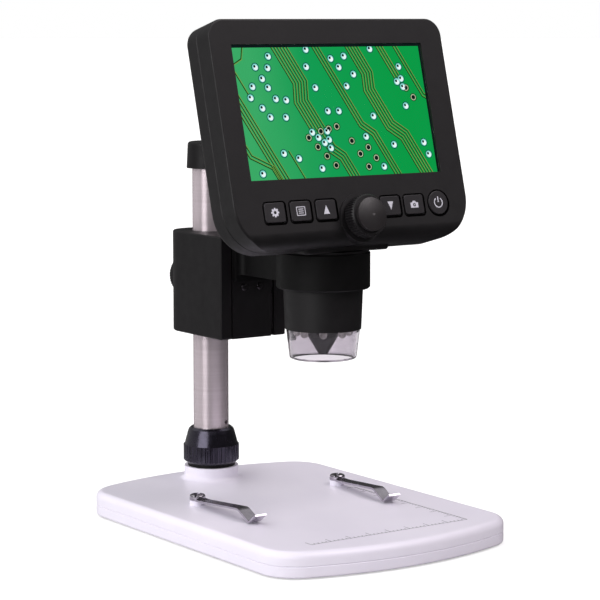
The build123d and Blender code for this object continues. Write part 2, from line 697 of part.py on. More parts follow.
keep("column_tube", make_column_tube(), STEEL)
keep("column_plug", make_column_plug(), STEEL)
keep("column_bolt", make_column_bolt(), STEEL)
keep("collet_sleeve", make_collet(), BLACK)
keep("lock_nut", make_lock_nut(), BLACK)
keep("column_cap", make_column_cap(), BLACK)


# ================================================================ stage clips
def make_clip(side, turn):
    """Sprung strip on the right (+1) or left (-1) post, pointing to the front and turned by
    so many degrees about its post."""
    mid = CLIP_THICKNESS / 2
    touch = BASE_TOP + GAP - CLIP_BASE_Z + mid
    path = FilletPolyline((0, mid), (-CLIP_FLAT, mid), (-CLIP_ARM, mid + CLIP_ARM_RISE),
                          (-CLIP_TOUCH, touch), (-CLIP_TIP, touch + CLIP_TIP_RISE), radius=CLIP_BENDS)
    strip_section = Plane.YZ * trace(path, CLIP_THICKNESS)
    strip = Pos(-CLIP_WIDTH / 2, 0, 0) * extrude(strip_section, CLIP_WIDTH)
    clip = strip + rod(0, 0, 0, CLIP_THICKNESS, CLIP_EYE_RADIUS)
    clip -= rod(0, 0, -PAST, CLIP_THICKNESS + PAST, CLIP_SCREW_RADIUS + RUN)
    return Pos(side * CLIP_X, CLIP_Y, CLIP_BASE_Z) * Rot(0, 0, turn) * clip


def make_clip_screws():
    screws = []
    seat = CLIP_BASE_Z + CLIP_THICKNESS + RUN
    for side in (-1, 1):
        head = rod(0, 0, seat, seat + CLIP_SCREW_HEAD_HEIGHT, CLIP_SCREW_HEAD)
        head = fillet(head.faces().sort_by(Axis.Z)[-1].edges(), CLIP_SCREW_ROUND)
        slot_floor = seat + CLIP_SCREW_HEAD_HEIGHT - CLIP_SLOT_DEPTH
        head -= brick(-CLIP_SCREW_HEAD, CLIP_SCREW_HEAD, -CLIP_SLOT_WIDTH / 2, CLIP_SLOT_WIDTH / 2,
                      slot_floor, seat + CLIP_SCREW_HEAD_HEIGHT)
        head += rod(0, 0, PAN_TOP + CLIP_HOLE_FLOOR + SCREW_RELIEF, seat, CLIP_SCREW_RADIUS)
        screws.append(Pos(side * CLIP_X, CLIP_Y, 0) * Rot(0, 0, CLIP_SLOT_TURN) * head)
    return Compound(children=screws)


keep("clip_left", make_clip(-1, CLIP_LEFT_TURN), STEEL)
keep("clip_right", make_clip(1, CLIP_RIGHT_TURN), STEEL)
keep("clip_screws", make_clip_screws(), STEEL)


# ================================================================ bracket
def slide_profile(offset_left, offset_right, front, back):
    """Plan of the slide, widened on each side by an offset."""
    lip = BLOCK_FRONT + SLIDE_LIP
    slope = SLIDE_FLARE / (SLIDE_BACK - lip)
    deep = SLIDE_HALF + slope * (back - lip)
    return [(-SLIDE_HALF - offset_left, front), (-SLIDE_HALF - offset_left, lip),
            (-deep - offset_left, back), (deep + offset_right, back),
            (SLIDE_HALF + offset_right, lip), (SLIDE_HALF + offset_right, front)]


def make_bracket_block():
    plan = make_face(Polyline((-BLOCK_LEFT, BLOCK_FRONT), (BLOCK_RIGHT, BLOCK_FRONT),
                              (BLOCK_RIGHT, BLOCK_BACK), (-BLOCK_LEFT, BLOCK_BACK), close=True))
    plan = fillet(plan.vertices().group_by(Axis.Y)[-1], BLOCK_CORNER)
    block = Pos(0, 0, BLOCK_BOTTOM) * extrude(plan, BLOCK_TOP - BLOCK_BOTTOM)
    rims = block.faces().filter_by(Axis.Z).edges()
    front_corners = block.edges().filter_by(Axis.Z).group_by(Axis.Y)[0]
    block = chamfer(rims + front_corners, BLOCK_EDGE)
    block -= rod(0, COLUMN_Y, BLOCK_BOTTOM, BLOCK_TOP, BUSH_RADIUS + RUN)
    groove_back = SLIDE_BACK + FLANK_GAP * 2
    groove = make_face(Polyline(*slide_profile(LEFT_GAP, RIGHT_GAP, BLOCK_FRONT - PAST, groove_back),
                                close=True))
    block -= Pos(0, 0, BLOCK_BOTTOM) * extrude(groove, BLOCK_TOP - BLOCK_BOTTOM)
    channel = RACK_WIDTH / 2 + GAP
    tooth_room = RACK_PITCH_Y + RACK_ADDENDUM * RACK_MODULE + GAP
    block -= brick(-channel, channel, SLIDE_BACK, tooth_room, BLOCK_BOTTOM, BLOCK_TOP)
    gear_room = PINION_RADIUS + TOOTH_ADDENDUM * RACK_MODULE + GAP
    block -= rod_x(-PINION_WIDTH / 2 - GAP, PINION_WIDTH / 2 + GAP, PINION_Y, PINION_Z, gear_room)
    block -= brick(-PINION_WIDTH / 2 - GAP, PINION_WIDTH / 2 + GAP, SLIDE_BACK, PINION_Y,
                   PINION_Z - gear_room, PINION_Z + gear_room)
    block -= rod_x(SHAFT_LEFT - GAP, BLOCK_RIGHT, PINION_Y, PINION_Z, SHAFT_RADIUS + RUN)
    block -= rod_y(COLUMN_Y, BLOCK_BACK, 0, CLAMP_Z, CLAMP_SCREW_RADIUS + RUN)
    for z in GIB_SCREW_Z:
        block -= rod_x(SLIDE_HALF, BLOCK_RIGHT, BLOCK_FRONT + SLIDE_DEPTH / 2, z, GIB_SCREW_RADIUS + THREAD)
    return block


def make_column_bush():
    bush = pipe(0, COLUMN_Y, BLOCK_BOTTOM + BUSH_SET_BACK, BLOCK_TOP - BUSH_SET_BACK, BUSH_RADIUS,
                COLUMN_RADIUS + RUN)
    slit = brick(-BUSH_SLIT / 2, BUSH_SLIT / 2, COLUMN_RADIUS - PAST, BUSH_RADIUS + PAST,
                 BLOCK_BOTTOM, BLOCK_TOP)
    return bush - Pos(0, COLUMN_Y, 0) * Rot(0, 0, BUSH_SLIT_TURN) * slit


def make_gib_strip():
    """Thin strip that fills the gap on the right and takes up the slide's play."""
    outer = slide_profile(0, FLANK_GAP + GIB_THICKNESS, BLOCK_FRONT + GIB_SET_BACK, SLIDE_BACK)
    inner = slide_profile(0, FLANK_GAP, BLOCK_FRONT + GIB_SET_BACK, SLIDE_BACK)
    strip = make_face(Polyline(outer[5], outer[4], outer[3], inner[3], inner[4], inner[5], close=True))
    return Pos(0, 0, BLOCK_BOTTOM + GIB_END) * extrude(strip, BLOCK_TOP - BLOCK_BOTTOM - 2 * GIB_END)


def make_gib_screws():
    y = BLOCK_FRONT + SLIDE_DEPTH / 2
    lip = BLOCK_FRONT + SLIDE_LIP
    slope = SLIDE_FLARE / (SLIDE_BACK - lip)
    flank = SLIDE_HALF + FLANK_GAP + GIB_THICKNESS + slope * (y + GIB_SCREW_RADIUS - lip)
    end = BLOCK_RIGHT - GIB_SCREW_SUNK
    return Compound(children=[rod_x(flank + FIT, end, y, z, GIB_SCREW_RADIUS)
                              - rod_x(end - GIB_SOCKET_DEPTH, end, y, z, GIB_SOCKET_RADIUS)
                              for z in GIB_SCREW_Z])


keep("bracket_block", make_bracket_block(), BLACK)
keep("column_bush", make_column_bush(), WHITE)
keep("gib_strip", make_gib_strip(), BRASS)
keep("gib_screws", make_gib_screws(), STEEL)


# ================================================================ clamp knob at the back
def make_clamp_knob():
    start = BLOCK_BACK + GAP
    knob = Pos(0, CLAMP_KNOB_END, CLAMP_Z) * Rot(90, 0, 0) * knurled(
        CLAMP_KNOB_RADIUS, CLAMP_KNOB_END - start, KNOB_BEVEL)
    return knob - rod_y(start, start + CLAMP_SCREW_SEAT, 0, CLAMP_Z, CLAMP_SCREW_RADIUS + FIT)


def make_clamp_screw():
    tip = COLUMN_Y + BUSH_RADIUS + CLAMP_TIP_GAP
    return rod_y(tip, BLOCK_BACK + GAP + CLAMP_SCREW_SEAT - FIT, 0, CLAMP_Z, CLAMP_SCREW_RADIUS)


keep("clamp_knob", make_clamp_knob(), BLACK)
keep("clamp_screw", make_clamp_screw(), STEEL)


# ================================================================ height drive on the right
def make_pinion():
    gear = spur_gear(RACK_MODULE, PINION_TEETH, PINION_WIDTH, SHAFT_RADIUS + FIT)
    return Pos(-PINION_WIDTH / 2, PINION_Y, PINION_Z) * Rot(0, 90, 0) * Rot(0, 0, -90) * gear


def make_pinion_shaft():
    return rod_x(SHAFT_LEFT, BLOCK_RIGHT + HEIGHT_KNOB_LENGTH, PINION_Y, PINION_Z, SHAFT_RADIUS)


def make_height_knob():
    start = BLOCK_RIGHT + GAP
    grip = start + HEIGHT_KNOB_HUB_LENGTH
    end = start + HEIGHT_KNOB_LENGTH
    knob = Pos(grip, PINION_Y, PINION_Z) * Rot(0, 90, 0) * knurled(
        HEIGHT_KNOB_RADIUS, end - grip, KNOB_BEVEL)
    knob += rod_x(start, grip, PINION_Y, PINION_Z, HEIGHT_KNOB_HUB)
    return knob - rod_x(start, BLOCK_RIGHT + HEIGHT_KNOB_LENGTH + FIT, PINION_Y, PINION_Z, SHAFT_RADIUS + FIT)


keep("pinion_gear", make_pinion(), BRASS)
keep("pinion_shaft", make_pinion_shaft(), STEEL)
keep("height_knob", make_height_knob(), BLACK)


# ================================================================ carriage
def make_slide_block():
    outline = make_face(Polyline(*slide_profile(0, 0, BLOCK_FRONT, SLIDE_BACK), close=True))
    slide = Pos(0, 0, BLOCK_BOTTOM) * extrude(outline, BLOCK_TOP - BLOCK_BOTTOM)
    half = RACK_PLATE_WIDTH / 2 + FIT
    slide -= brick(-half, half, SLIDE_BACK - RACK_PLATE - FIT, SLIDE_BACK, BLOCK_BOTTOM, BLOCK_TOP)
    for side in (-1, 1):
        slide -= rod_y(BLOCK_FRONT, SLIDE_BACK, side * RACK_SCREW_X, RACK_SCREW_Z, RACK_SCREW_RADIUS + FIT)
        slide -= rod_y(BLOCK_FRONT, BLOCK_FRONT + RACK_SCREW_SUNK, side * RACK_SCREW_X, RACK_SCREW_Z,
                       RACK_SCREW_HEAD + FIT)
        for z in ARM_SCREW_Z:
            slide -= rod_y(BLOCK_FRONT, SLIDE_BACK, side * ARM_SCREW_X, z, ARM_SCREW_RADIUS + FIT)
            seat = SLIDE_BACK - ARM_SCREW_SUNK - ARM_SCREW_HEAD_HEIGHT
            slide -= rod_y(seat, SLIDE_BACK, side * ARM_SCREW_X, z, ARM_SCREW_HEAD + FIT)
    return slide


def make_rack():
    low = BLOCK_BOTTOM - PINION_Z
    high = BLOCK_TOP - PINION_Z
    side = Plane(origin=(-RACK_WIDTH / 2, RACK_PITCH_Y, PINION_Z), x_dir=(0, 1, 0), z_dir=(1, 0, 0))
    bar = extrude(side * rack_outline(RACK_MODULE, low, high, SLIDE_BACK - RACK_PITCH_Y), RACK_WIDTH)
    half = RACK_PLATE_WIDTH / 2
    bar += brick(-half, half, SLIDE_BACK - RACK_PLATE, SLIDE_BACK, BLOCK_BOTTOM, BLOCK_TOP)
    for side in (-1, 1):
        bar -= rod_y(SLIDE_BACK - RACK_PLATE, SLIDE_BACK, side * RACK_SCREW_X, RACK_SCREW_Z,
                     RACK_SCREW_RADIUS + FIT)
    return bar


def make_rack_screws():
    screws = []
    for side in (-1, 1):
        x = side * RACK_SCREW_X
        face = BLOCK_FRONT - RACK_SCREW_PROUD
        seat = BLOCK_FRONT + RACK_SCREW_SUNK - FIT
        screw = rod_y(face, seat, x, RACK_SCREW_Z, RACK_SCREW_HEAD)
        screw = fillet(screw.faces().sort_by(Axis.Y)[0].edges(), RACK_SCREW_ROUND)
        screw -= brick(x - RACK_SCREW_HEAD, x + RACK_SCREW_HEAD, face, face + RACK_SCREW_SLOT,
                       RACK_SCREW_Z - RACK_SCREW_SLOT / 2, RACK_SCREW_Z + RACK_SCREW_SLOT / 2)
        screw += rod_y(seat - FIT, SLIDE_BACK - FIT, x, RACK_SCREW_Z, RACK_SCREW_RADIUS)
        screws.append(screw)
    return Compound(children=screws)


def make_holder_arm():
    ring = rod(0, BARREL_Y, RING_BOTTOM, RING_TOP, RING_RADIUS)
    ring = chamfer(ring.edges().filter_by(GeomType.CIRCLE), RING_EDGE)
    flange = brick(-SLIDE_HALF, SLIDE_HALF, FLANGE_FRONT, BLOCK_FRONT, FLANGE_BOTTOM, BLOCK_TOP)
    web = brick(-WEB_WIDTH / 2, WEB_WIDTH / 2, BARREL_Y, BLOCK_FRONT - FLANGE_THICKNESS / 2,
                WEB_BOTTOM, RING_TOP - RING_EDGE)
    arm = ring + web + flange
    inner = [e for e in arm.edges().filter_by(Axis.Z)
             if abs(abs(e.center().X) - WEB_WIDTH / 2) < 0.01 and e.center().Y < FLANGE_FRONT + 0.1]
    arm = fillet(inner, WEB_FILLET)
    arm -= rod(0, BARREL_Y, RING_BOTTOM, RING_TOP, RING_BORE + FIT)
    for side in (-1, 1):
        for z in ARM_SCREW_Z:
            arm -= rod_y(FLANGE_FRONT + SKIN, BLOCK_FRONT, side * ARM_SCREW_X, z, ARM_SCREW_RADIUS + THREAD)
    return arm


def make_arm_screws():
    screws = []
    head_back = SLIDE_BACK - ARM_SCREW_SUNK
    for side in (-1, 1):
        for z in ARM_SCREW_Z:
            x = side * ARM_SCREW_X
            screw = rod_y(head_back - ARM_SCREW_HEAD_HEIGHT, head_back, x, z, ARM_SCREW_HEAD)
            screw += rod_y(FLANGE_FRONT + SKIN + FIT, head_back - ARM_SOCKET_DEPTH, x, z, ARM_SCREW_RADIUS)
            screw -= rod_y(head_back - ARM_SOCKET_DEPTH, head_back, x, z, ARM_SOCKET_RADIUS)
            screws.append(screw)
    return Compound(children=screws)


def make_ring_liner():
    seat = RING_TOP + RUN
    liner = rod(0, BARREL_Y, RING_BOTTOM + GAP, seat + LINER_FLANGE, RING_BORE - RUN)
    liner += rod(0, BARREL_Y, seat, seat + LINER_FLANGE, LINER_FLANGE_RADIUS)
    return liner - rod(0, BARREL_Y, RING_BOTTOM, NECK_BOTTOM, BARREL_TOP_RADIUS + RUN)


keep("slide_block", make_slide_block(), BLACK)
keep("rack", make_rack(), BRASS)
keep("rack_screws", make_rack_screws(), STEEL)
keep("holder_arm", make_holder_arm(), BLACK)
keep("arm_screws", make_arm_screws(), STEEL)
keep("ring_liner", make_ring_liner(), BLACK)


# ================================================================ head: frame and shell outlines
TILT = radians(HEAD_TILT)
HEAD = Plane(origin=(0, HEAD_Y, HEAD_Z), x_dir=(1, 0, 0), z_dir=(0, -cos(TILT), sin(TILT)))


def on_head(shape):
    """Carries a shape from the screen's own frame (x right, y up the face, z out of it)."""
    return HEAD.location * shape


def head_outline(inset=0.0):
    """Front view of the head case."""
    left = HEAD_LEFT + inset
    right = HEAD_RIGHT - inset
    top = HEAD_ABOVE - inset
    bottom = -HEAD_BELOW + inset
    face = make_face(Polyline((left, bottom), (right, bottom), (right, top), (left, top), close=True))
    low, high = face.vertices().group_by(Axis.Y)[0], face.vertices().group_by(Axis.Y)[-1]
    face = fillet(low, HEAD_BOTTOM_CORNER - inset)
    high = face.vertices().group_by(Axis.Y)[-1]
    return fillet(high, HEAD_TOP_CORNER - inset)


def head_side(inset, back):
    """Side view of the head down to a depth, with the chin curving back at the bottom."""
    top = HEAD_ABOVE - inset
    bottom = -HEAD_BELOW + inset
    face = make_face(Polyline((bottom, -inset), (top, -inset), (top, back), (bottom, back), close=True))
    chin = [v for v in face.vertices() if v.X < 0 and v.Y > back / 2]
    return extrude(Plane.YZ * fillet(chin, CHIN_RADIUS - inset), HEAD_WIDTH, both=True)


def head_slab(inset, front, back):
    """Head volume between two heights over the face, inset from the outer walls."""
    body = Pos(0, 0, back) * extrude(head_outline(inset), front - back)
    return body & head_side(inset, back - 1)


def rounded_block(x, v, width, height, corner, back, front):
    """Block on the face with round upright corners, between two heights over it."""
    return Pos(x, v, back) * extrude(RectangleRounded(width, height, corner), front - back)


def case_boss_places():
    """Places of the six screws that hold the two halves of the case together."""
    rows = ((CASE_BOSS_IN, CASE_BOSS_HIGH), (CASE_BOSS_IN, CASE_BOSS_MID), (CASE_LOW_IN, CASE_LOW_V))
    return [(HEAD_SHIFT + side * (HEAD_WIDTH / 2 - inward), v) for inward, v in rows for side in (-1, 1)]


SQUARE_KEYS = (("settings_key", SETTINGS_KEY_X), ("menu_key", MENU_KEY_X), ("up_key", UP_KEY_X),
               ("down_key", DOWN_KEY_X), ("camera_key", CAMERA_KEY_X))
SEAM = -SEAM_DEPTH
PLATE_BACK = -CASE_WALL
CASE_FLOOR = -HEAD_THICKNESS + CASE_WALL
CASE_SCREW_SEAT = -HEAD_THICKNESS + CASE_SCREW_SINK
CASE_SCREW_TIP = CASE_SCREW_SEAT + CASE_SCREW_LENGTH
BOARD_FRONT = -BOARD_DEPTH
BOARD_BACK = BOARD_FRONT - BOARD_THICKNESS
KEY_BOARD_FRONT = -KEY_BOARD_DEPTH
KEY_BOARD_BACK = KEY_BOARD_FRONT - KEY_BOARD_THICKNESS
KEY_FLANGE_FRONT = PLATE_BACK - KEY_PLAY
KEY_FLANGE_BACK = KEY_FLANGE_FRONT - KEY_FLANGE_THICKNESS
SWITCH_TOP = KEY_BOARD_FRONT + SWITCH_HEIGHT
KEY_STEM_END = SWITCH_TOP + KEY_TRAVEL + KEY_PLAY


# ================================================================ head: front bezel and screen
def make_front_bezel():
    shell = Pos(0, 0, SEAM) * extrude(head_outline(), -SEAM)
    shell = fillet(shell.faces().sort_by(Axis.Z)[-1].edges(), FACE_EDGE)
    shell &= head_side(0, SEAM - PAST)
    shell = chamfer(shell.faces().sort_by(Axis.Z)[0].edges(), SEAM_GROOVE)
    shell += rod(DIAL_X, DIAL_V, -DIAL_LIP_ROOT, DIAL_LIP, DIAL_LIP_RADIUS)
    shell -= head_slab(CASE_WALL, PLATE_BACK, SEAM - PAST)
    shell += rod(DIAL_X, DIAL_V, -DIAL_BOSS_DEPTH, PLATE_BACK, DIAL_BOSS_RADIUS)
    for x, v in case_boss_places():
        shell += rod(x, v, SEAM, PLATE_BACK + BITE, CASE_BOSS_RADIUS)
        shell -= rod(x, v, SEAM, CASE_SCREW_TIP + SKIN, CASE_SCREW_RADIUS + THREAD)
    for x in KEY_BOARD_POSTS:
        shell += rod(x, KEY_BOARD_POST_V, KEY_BOARD_FRONT + FIT, PLATE_BACK, KEY_BOARD_POST_RADIUS)
        shell -= rod(x, KEY_BOARD_POST_V, KEY_BOARD_FRONT, PLATE_BACK - PAST, SMALL_SCREW_RADIUS + THREAD)
    half_x = WINDOW_WIDTH / 2
    half_v = WINDOW_HEIGHT / 2
    shell -= brick(-half_x, half_x, -half_v, half_v, PLATE_BACK, PAST)
    half_x += GLASS_MARGIN
    half_v += GLASS_MARGIN
    shell -= brick(-half_x, half_x, -half_v, half_v, PLATE_BACK, -WINDOW_RECESS)
    for _, x in SQUARE_KEYS:
        shell -= rounded_block(x, KEY_V, KEY_WIDTH + 2 * KEY_GAP, KEY_HEIGHT + 2 * KEY_GAP,
                               KEY_CORNER + KEY_GAP, PLATE_BACK, PAST)
    shell -= rod(POWER_KEY_X, POWER_KEY_V, PLATE_BACK, PAST, POWER_KEY_RADIUS + KEY_GAP)
    shell -= rod(DIAL_X, DIAL_V, -DIAL_BOSS_DEPTH, DIAL_LIP, DIAL_SHAFT_RADIUS + RUN)
    return on_head(shell)


def make_screen_window():
    half_x = WINDOW_WIDTH / 2 + GLASS_MARGIN - FIT
    half_v = WINDOW_HEIGHT / 2 + GLASS_MARGIN - FIT
    return on_head(brick(-half_x, half_x, -half_v, half_v, PLATE_BACK, -WINDOW_RECESS - FIT))


def make_display_panel():
    front = PLATE_BACK - FIT
    half_x = WINDOW_WIDTH / 2 + DISPLAY_SIDE
    half_v = WINDOW_HEIGHT / 2 + DISPLAY_END
    return on_head(brick(-half_x, half_x, -half_v, half_v, front - DISPLAY_THICKNESS, front))


# ================================================================ head: rear case
def neck_block(inset, floor):
    """Boxy neck around the optical axis with a roof that slopes up to the case."""
    front = NECK_FRONT + inset
    back = NECK_BACK - inset
    half = NECK_HALF_WIDTH - inset
    rise = tan(radians(NECK_SLOPE))
    shoulder = NECK_SHOULDER - inset * (1 / cos(radians(NECK_SLOPE)) - rise)
    side = make_face(Polyline((front, floor), (back, floor), (back, shoulder),
                              (front, shoulder + rise * (back - front)), close=True))
    return extrude(Plane.YZ * side, half, both=True)


def make_neck():
    """Outside of the neck, rounded, and cut away where the front bezel runs."""
    neck = neck_block(0, NECK_BOTTOM)
    shoulder = neck.edges().filter_by(Axis.X).group_by(Axis.Y)[-1].sort_by(Axis.Z)[-1]
    neck = fillet(shoulder, NECK_ROOF_EDGE)
    sides = [e for e in neck.edges() if abs(abs(e.center().X) - NECK_HALF_WIDTH) < 0.01
             and e.center().Z > NECK_BOTTOM + FIT and e.center().Y > NECK_FRONT + FIT]
    neck = fillet(sides, NECK_CORNER)
    plan = make_face(Polyline((-NECK_HALF_WIDTH, NECK_FRONT), (NECK_HALF_WIDTH, NECK_FRONT),
                              (NECK_HALF_WIDTH, NECK_BACK), (-NECK_HALF_WIDTH, NECK_BACK), close=True))
    plan = fillet(plan.vertices().group_by(Axis.Y)[0], NECK_CORNER)
    neck &= Pos(0, 0, NECK_BOTTOM) * extrude(plan, HEAD_Z)
    neck = fillet(neck.faces().sort_by(Axis.Z)[0].edges(), NECK_EDGE)
    ahead = brick(-HEAD_WIDTH, HEAD_WIDTH, -HEAD_BELOW - FIT, HEAD_ABOVE, SEAM - FIT, HEAD_WIDTH)
    return neck - on_head(ahead)


def make_rear_case():
    back = -HEAD_THICKNESS
    shell = head_slab(0, SEAM - FIT, back)
    shell = fillet(shell.faces().sort_by(Axis.Z)[0].edges(), REAR_EDGE)
    shell = chamfer(shell.faces().sort_by(Axis.Z)[-1].edges(), SEAM_GROOVE)
    shell = on_head(shell) + make_neck()
    shell -= on_head(head_slab(CASE_WALL, SEAM + PAST, CASE_FLOOR))
    shell -= neck_block(CASE_WALL, NECK_FLOOR_TOP) - on_head(under_chin())
    for x, v in case_boss_places():
        post = rod(x, v, CASE_FLOOR - BITE, SEAM - FIT, CASE_POST_RADIUS) & head_slab(BITE, SEAM - FIT, back)
        shell += on_head(post)
        shell -= on_head(rod(x, v, back - PAST, SEAM, CASE_SCREW_RADIUS + HOLE_PLAY))
        shell -= on_head(rod(x, v, back - PAST, CASE_SCREW_SEAT, CASE_SCREW_HEAD + HOLE_PLAY))
    for x, v in BOARD_POSTS:
        shell += on_head(rod(x, v, CASE_FLOOR - BITE, BOARD_BACK - FIT, BOARD_POST_RADIUS))
        shell -= on_head(rod(x, v, CASE_FLOOR, BOARD_BACK, SMALL_SCREW_RADIUS + THREAD))
    for centre, width, height in ((USB_V, USB_WIDTH, USB_HEIGHT), (CARD_V, CARD_WIDTH, CARD_HEIGHT)):
        half = width / 2 + GAP
        shell -= on_head(brick(HEAD_RIGHT - CASE_WALL - PAST, HEAD_RIGHT + PAST, centre - half, centre + half,
                               BOARD_BACK - height - GAP, BOARD_BACK + GAP))
    for sign in (-1, 1):
        x = sign * SENSOR_POST_X
        shell += rod(x, BARREL_Y, NECK_FLOOR_TOP - BITE, SENSOR_BOARD_Z - FIT, SENSOR_POST_RADIUS)
        shell -= rod(x, BARREL_Y, SENSOR_BOARD_Z - SMALL_SCREW_LENGTH, SENSOR_BOARD_Z,
                     SMALL_SCREW_RADIUS + THREAD)
    shell -= rod(0, BARREL_Y, NECK_BOTTOM, NECK_FLOOR_TOP, BARREL_UPPER_BORE)
    shell -= brick(FOCUS_RACK_LEFT - GAP, focus_rack_line() + GAP * 2, FOCUS_RACK_FRONT - GAP, BARREL_Y,
                   NECK_BOTTOM, NECK_FLOOR_TOP)
    for x, y in barrel_screw_places():
        shell -= rod(x, y, NECK_BOTTOM, NECK_FLOOR_TOP, SMALL_SCREW_RADIUS + HOLE_PLAY)
    return shell


def under_chin():
    """Space ahead of the seam and below the bezel's bottom wall, where the neck's lip stays whole."""
    return brick(-HEAD_WIDTH, HEAD_WIDTH, -HEAD_WIDTH, -HEAD_BELOW, SEAM - FIT, HEAD_WIDTH)


def focus_rack_line():
    """Where the focus rack's pitch line lies, left of its pinion."""
    return DIAL_X - FOCUS_PINION_RADIUS


def barrel_screw_places():
    """Four screws between the neck's floor and the barrel's thick top rim."""
    places = []
    for turn in (45, 135, 225, 315):
        angle = radians(turn)
        places.append((BARREL_SCREW_RING * cos(angle), BARREL_Y + BARREL_SCREW_RING * sin(angle)))
    return places


keep("front_bezel", make_front_bezel(), BLACK)
keep("screen_window", make_screen_window(), CLEAR)
keep("display_panel", make_display_panel(), BLACK)
keep("rear_case", make_rear_case(), BLACK)


# ================================================================ head: boards, battery, sockets
def make_main_board():
    board = brick(HEAD_LEFT + BOARD_LEFT_IN, HEAD_RIGHT - BOARD_RIGHT_IN, BOARD_LOW, BOARD_HIGH,
                  BOARD_BACK, BOARD_FRONT)
    for x, v in BOARD_POSTS:
        board -= rod(x, v, BOARD_BACK, BOARD_FRONT, SMALL_SCREW_RADIUS + HOLE_PLAY)
    for left, right, low, high, height in CHIPS:
        board += brick(left, right, low, high, BOARD_FRONT - BITE, BOARD_FRONT + height)
    return on_head(board)


def make_battery_pack():
    low = CASE_FLOOR + FIT
    return on_head(rounded_block(BATTERY_X, BATTERY_V, BATTERY_LENGTH, BATTERY_HEIGHT, BATTERY_CORNER,
                                 low, low + BATTERY_THICKNESS))


def make_usb_socket():
    end = HEAD_RIGHT - SOCKET_SET_BACK
    top = BOARD_BACK - FIT
    half = USB_WIDTH / 2
    socket = brick(end - USB_LENGTH, end, USB_V - half, USB_V + half, top - USB_HEIGHT, top)
    half -= USB_SHELL
    socket -= brick(end - USB_LENGTH + USB_BACK, end, USB_V - half, USB_V + half,
                    top - USB_HEIGHT + USB_SHELL, top - USB_SHELL)
    half = USB_TONGUE_WIDTH / 2
    tongue_top = top - USB_TONGUE_DROP
    socket += brick(end - USB_LENGTH + USB_BACK - BITE, end - USB_TONGUE_DROP, USB_V - half, USB_V + half,
                    tongue_top - USB_TONGUE, tongue_top)
    return on_head(socket)


def make_card_socket():
    end = HEAD_RIGHT - SOCKET_SET_BACK
    top = BOARD_BACK - FIT
    half = CARD_WIDTH / 2
    socket = brick(end - CARD_LENGTH, end, CARD_V - half, CARD_V + half, top - CARD_HEIGHT, top)
    half -= CARD_SIDE
    socket -= brick(end - CARD_LENGTH + CARD_BACK, end, CARD_V - half, CARD_V + half,
                    top - CARD_HEIGHT + CARD_SHELL, top - CARD_SHELL)
    return on_head(socket)


def make_key_board():
    board = brick(HEAD_LEFT + KEY_BOARD_LEFT_IN, HEAD_RIGHT - KEY_BOARD_RIGHT_IN,
                  KEY_BOARD_LOW, KEY_BOARD_HIGH, KEY_BOARD_BACK, KEY_BOARD_FRONT)
    board -= rod(DIAL_X, DIAL_V, KEY_BOARD_BACK, KEY_BOARD_FRONT, DIAL_SHAFT_RADIUS * 2)
    board -= brick(FOCUS_RACK_LEFT - PAST, focus_rack_line() + PAST, DIAL_V + KEY_BOARD_NOTCH, KEY_BOARD_HIGH,
                   KEY_BOARD_BACK, KEY_BOARD_FRONT)
    for x in KEY_BOARD_POSTS:
        board -= rod(x, KEY_BOARD_POST_V, KEY_BOARD_BACK, KEY_BOARD_FRONT, SMALL_SCREW_RADIUS + HOLE_PLAY)
    return on_head(board)


def make_key_switches():
    switches = []
    half = SWITCH_SIZE / 2
    places = [(x, KEY_V) for _, x in SQUARE_KEYS] + [(POWER_KEY_X, POWER_KEY_V)]
    for x, v in places:
        low = KEY_BOARD_FRONT + FIT
        switch = brick(x - half, x + half, v - half, v + half, low, KEY_BOARD_FRONT + SWITCH_BODY_HEIGHT)
        switch += rod(x, v, low, SWITCH_TOP, SWITCH_BUTTON_RADIUS)
        switches.append(on_head(switch))
    return Compound(children=switches)


keep("main_board", make_main_board(), GREEN)
keep("battery_pack", make_battery_pack(), STEEL)
keep("usb_socket", make_usb_socket(), STEEL)
keep("card_socket", make_card_socket(), STEEL)
keep("key_board", make_key_board(), GREEN)
keep("key_switches", make_key_switches(), STEEL)


# ================================================================ head: keys and focus dial
def make_square_key(x):
    flange_width = KEY_WIDTH + 2 * KEY_FLANGE
    flange_height = KEY_HEIGHT + 2 * KEY_FLANGE
    cap = rounded_block(x, KEY_V, KEY_WIDTH, KEY_HEIGHT, KEY_CORNER, KEY_FLANGE_FRONT, KEY_PROUD)
    cap = fillet(cap.faces().sort_by(Axis.Z)[-1].edges(), KEY_EDGE)
    cap += rounded_block(x, KEY_V, flange_width, flange_height, KEY_CORNER, KEY_FLANGE_BACK, KEY_FLANGE_FRONT)
    cap += rod(x, KEY_V, KEY_STEM_END, KEY_FLANGE_BACK, KEY_STEM_RADIUS)
    return on_head(cap)


def make_power_key():
    cap = rod(POWER_KEY_X, POWER_KEY_V, KEY_FLANGE_FRONT, KEY_PROUD, POWER_KEY_RADIUS)
    cap = fillet(cap.faces().sort_by(Axis.Z)[-1].edges(), KEY_EDGE)
    cap += rod(POWER_KEY_X, POWER_KEY_V, KEY_FLANGE_BACK, KEY_FLANGE_FRONT, POWER_KEY_RADIUS + KEY_FLANGE)
    cap += rod(POWER_KEY_X, POWER_KEY_V, KEY_STEM_END, KEY_FLANGE_BACK, KEY_STEM_RADIUS)
    return on_head(cap)


def make_focus_dial():
    ring = Pos(0, 0, DIAL_BACK) * knurled(DIAL_RADIUS, DIAL_FRONT - DIAL_BACK, KNOB_BEVEL)
    ring -= rod(0, 0, DIAL_CAP_SEAT, DIAL_FRONT, DIAL_CAP_RADIUS + FIT)
    ring -= rod(0, 0, DIAL_BACK, DIAL_CAP_SEAT, DIAL_SHAFT_RADIUS + FIT)
    return on_head(Pos(DIAL_X, DIAL_V, 0) * ring)


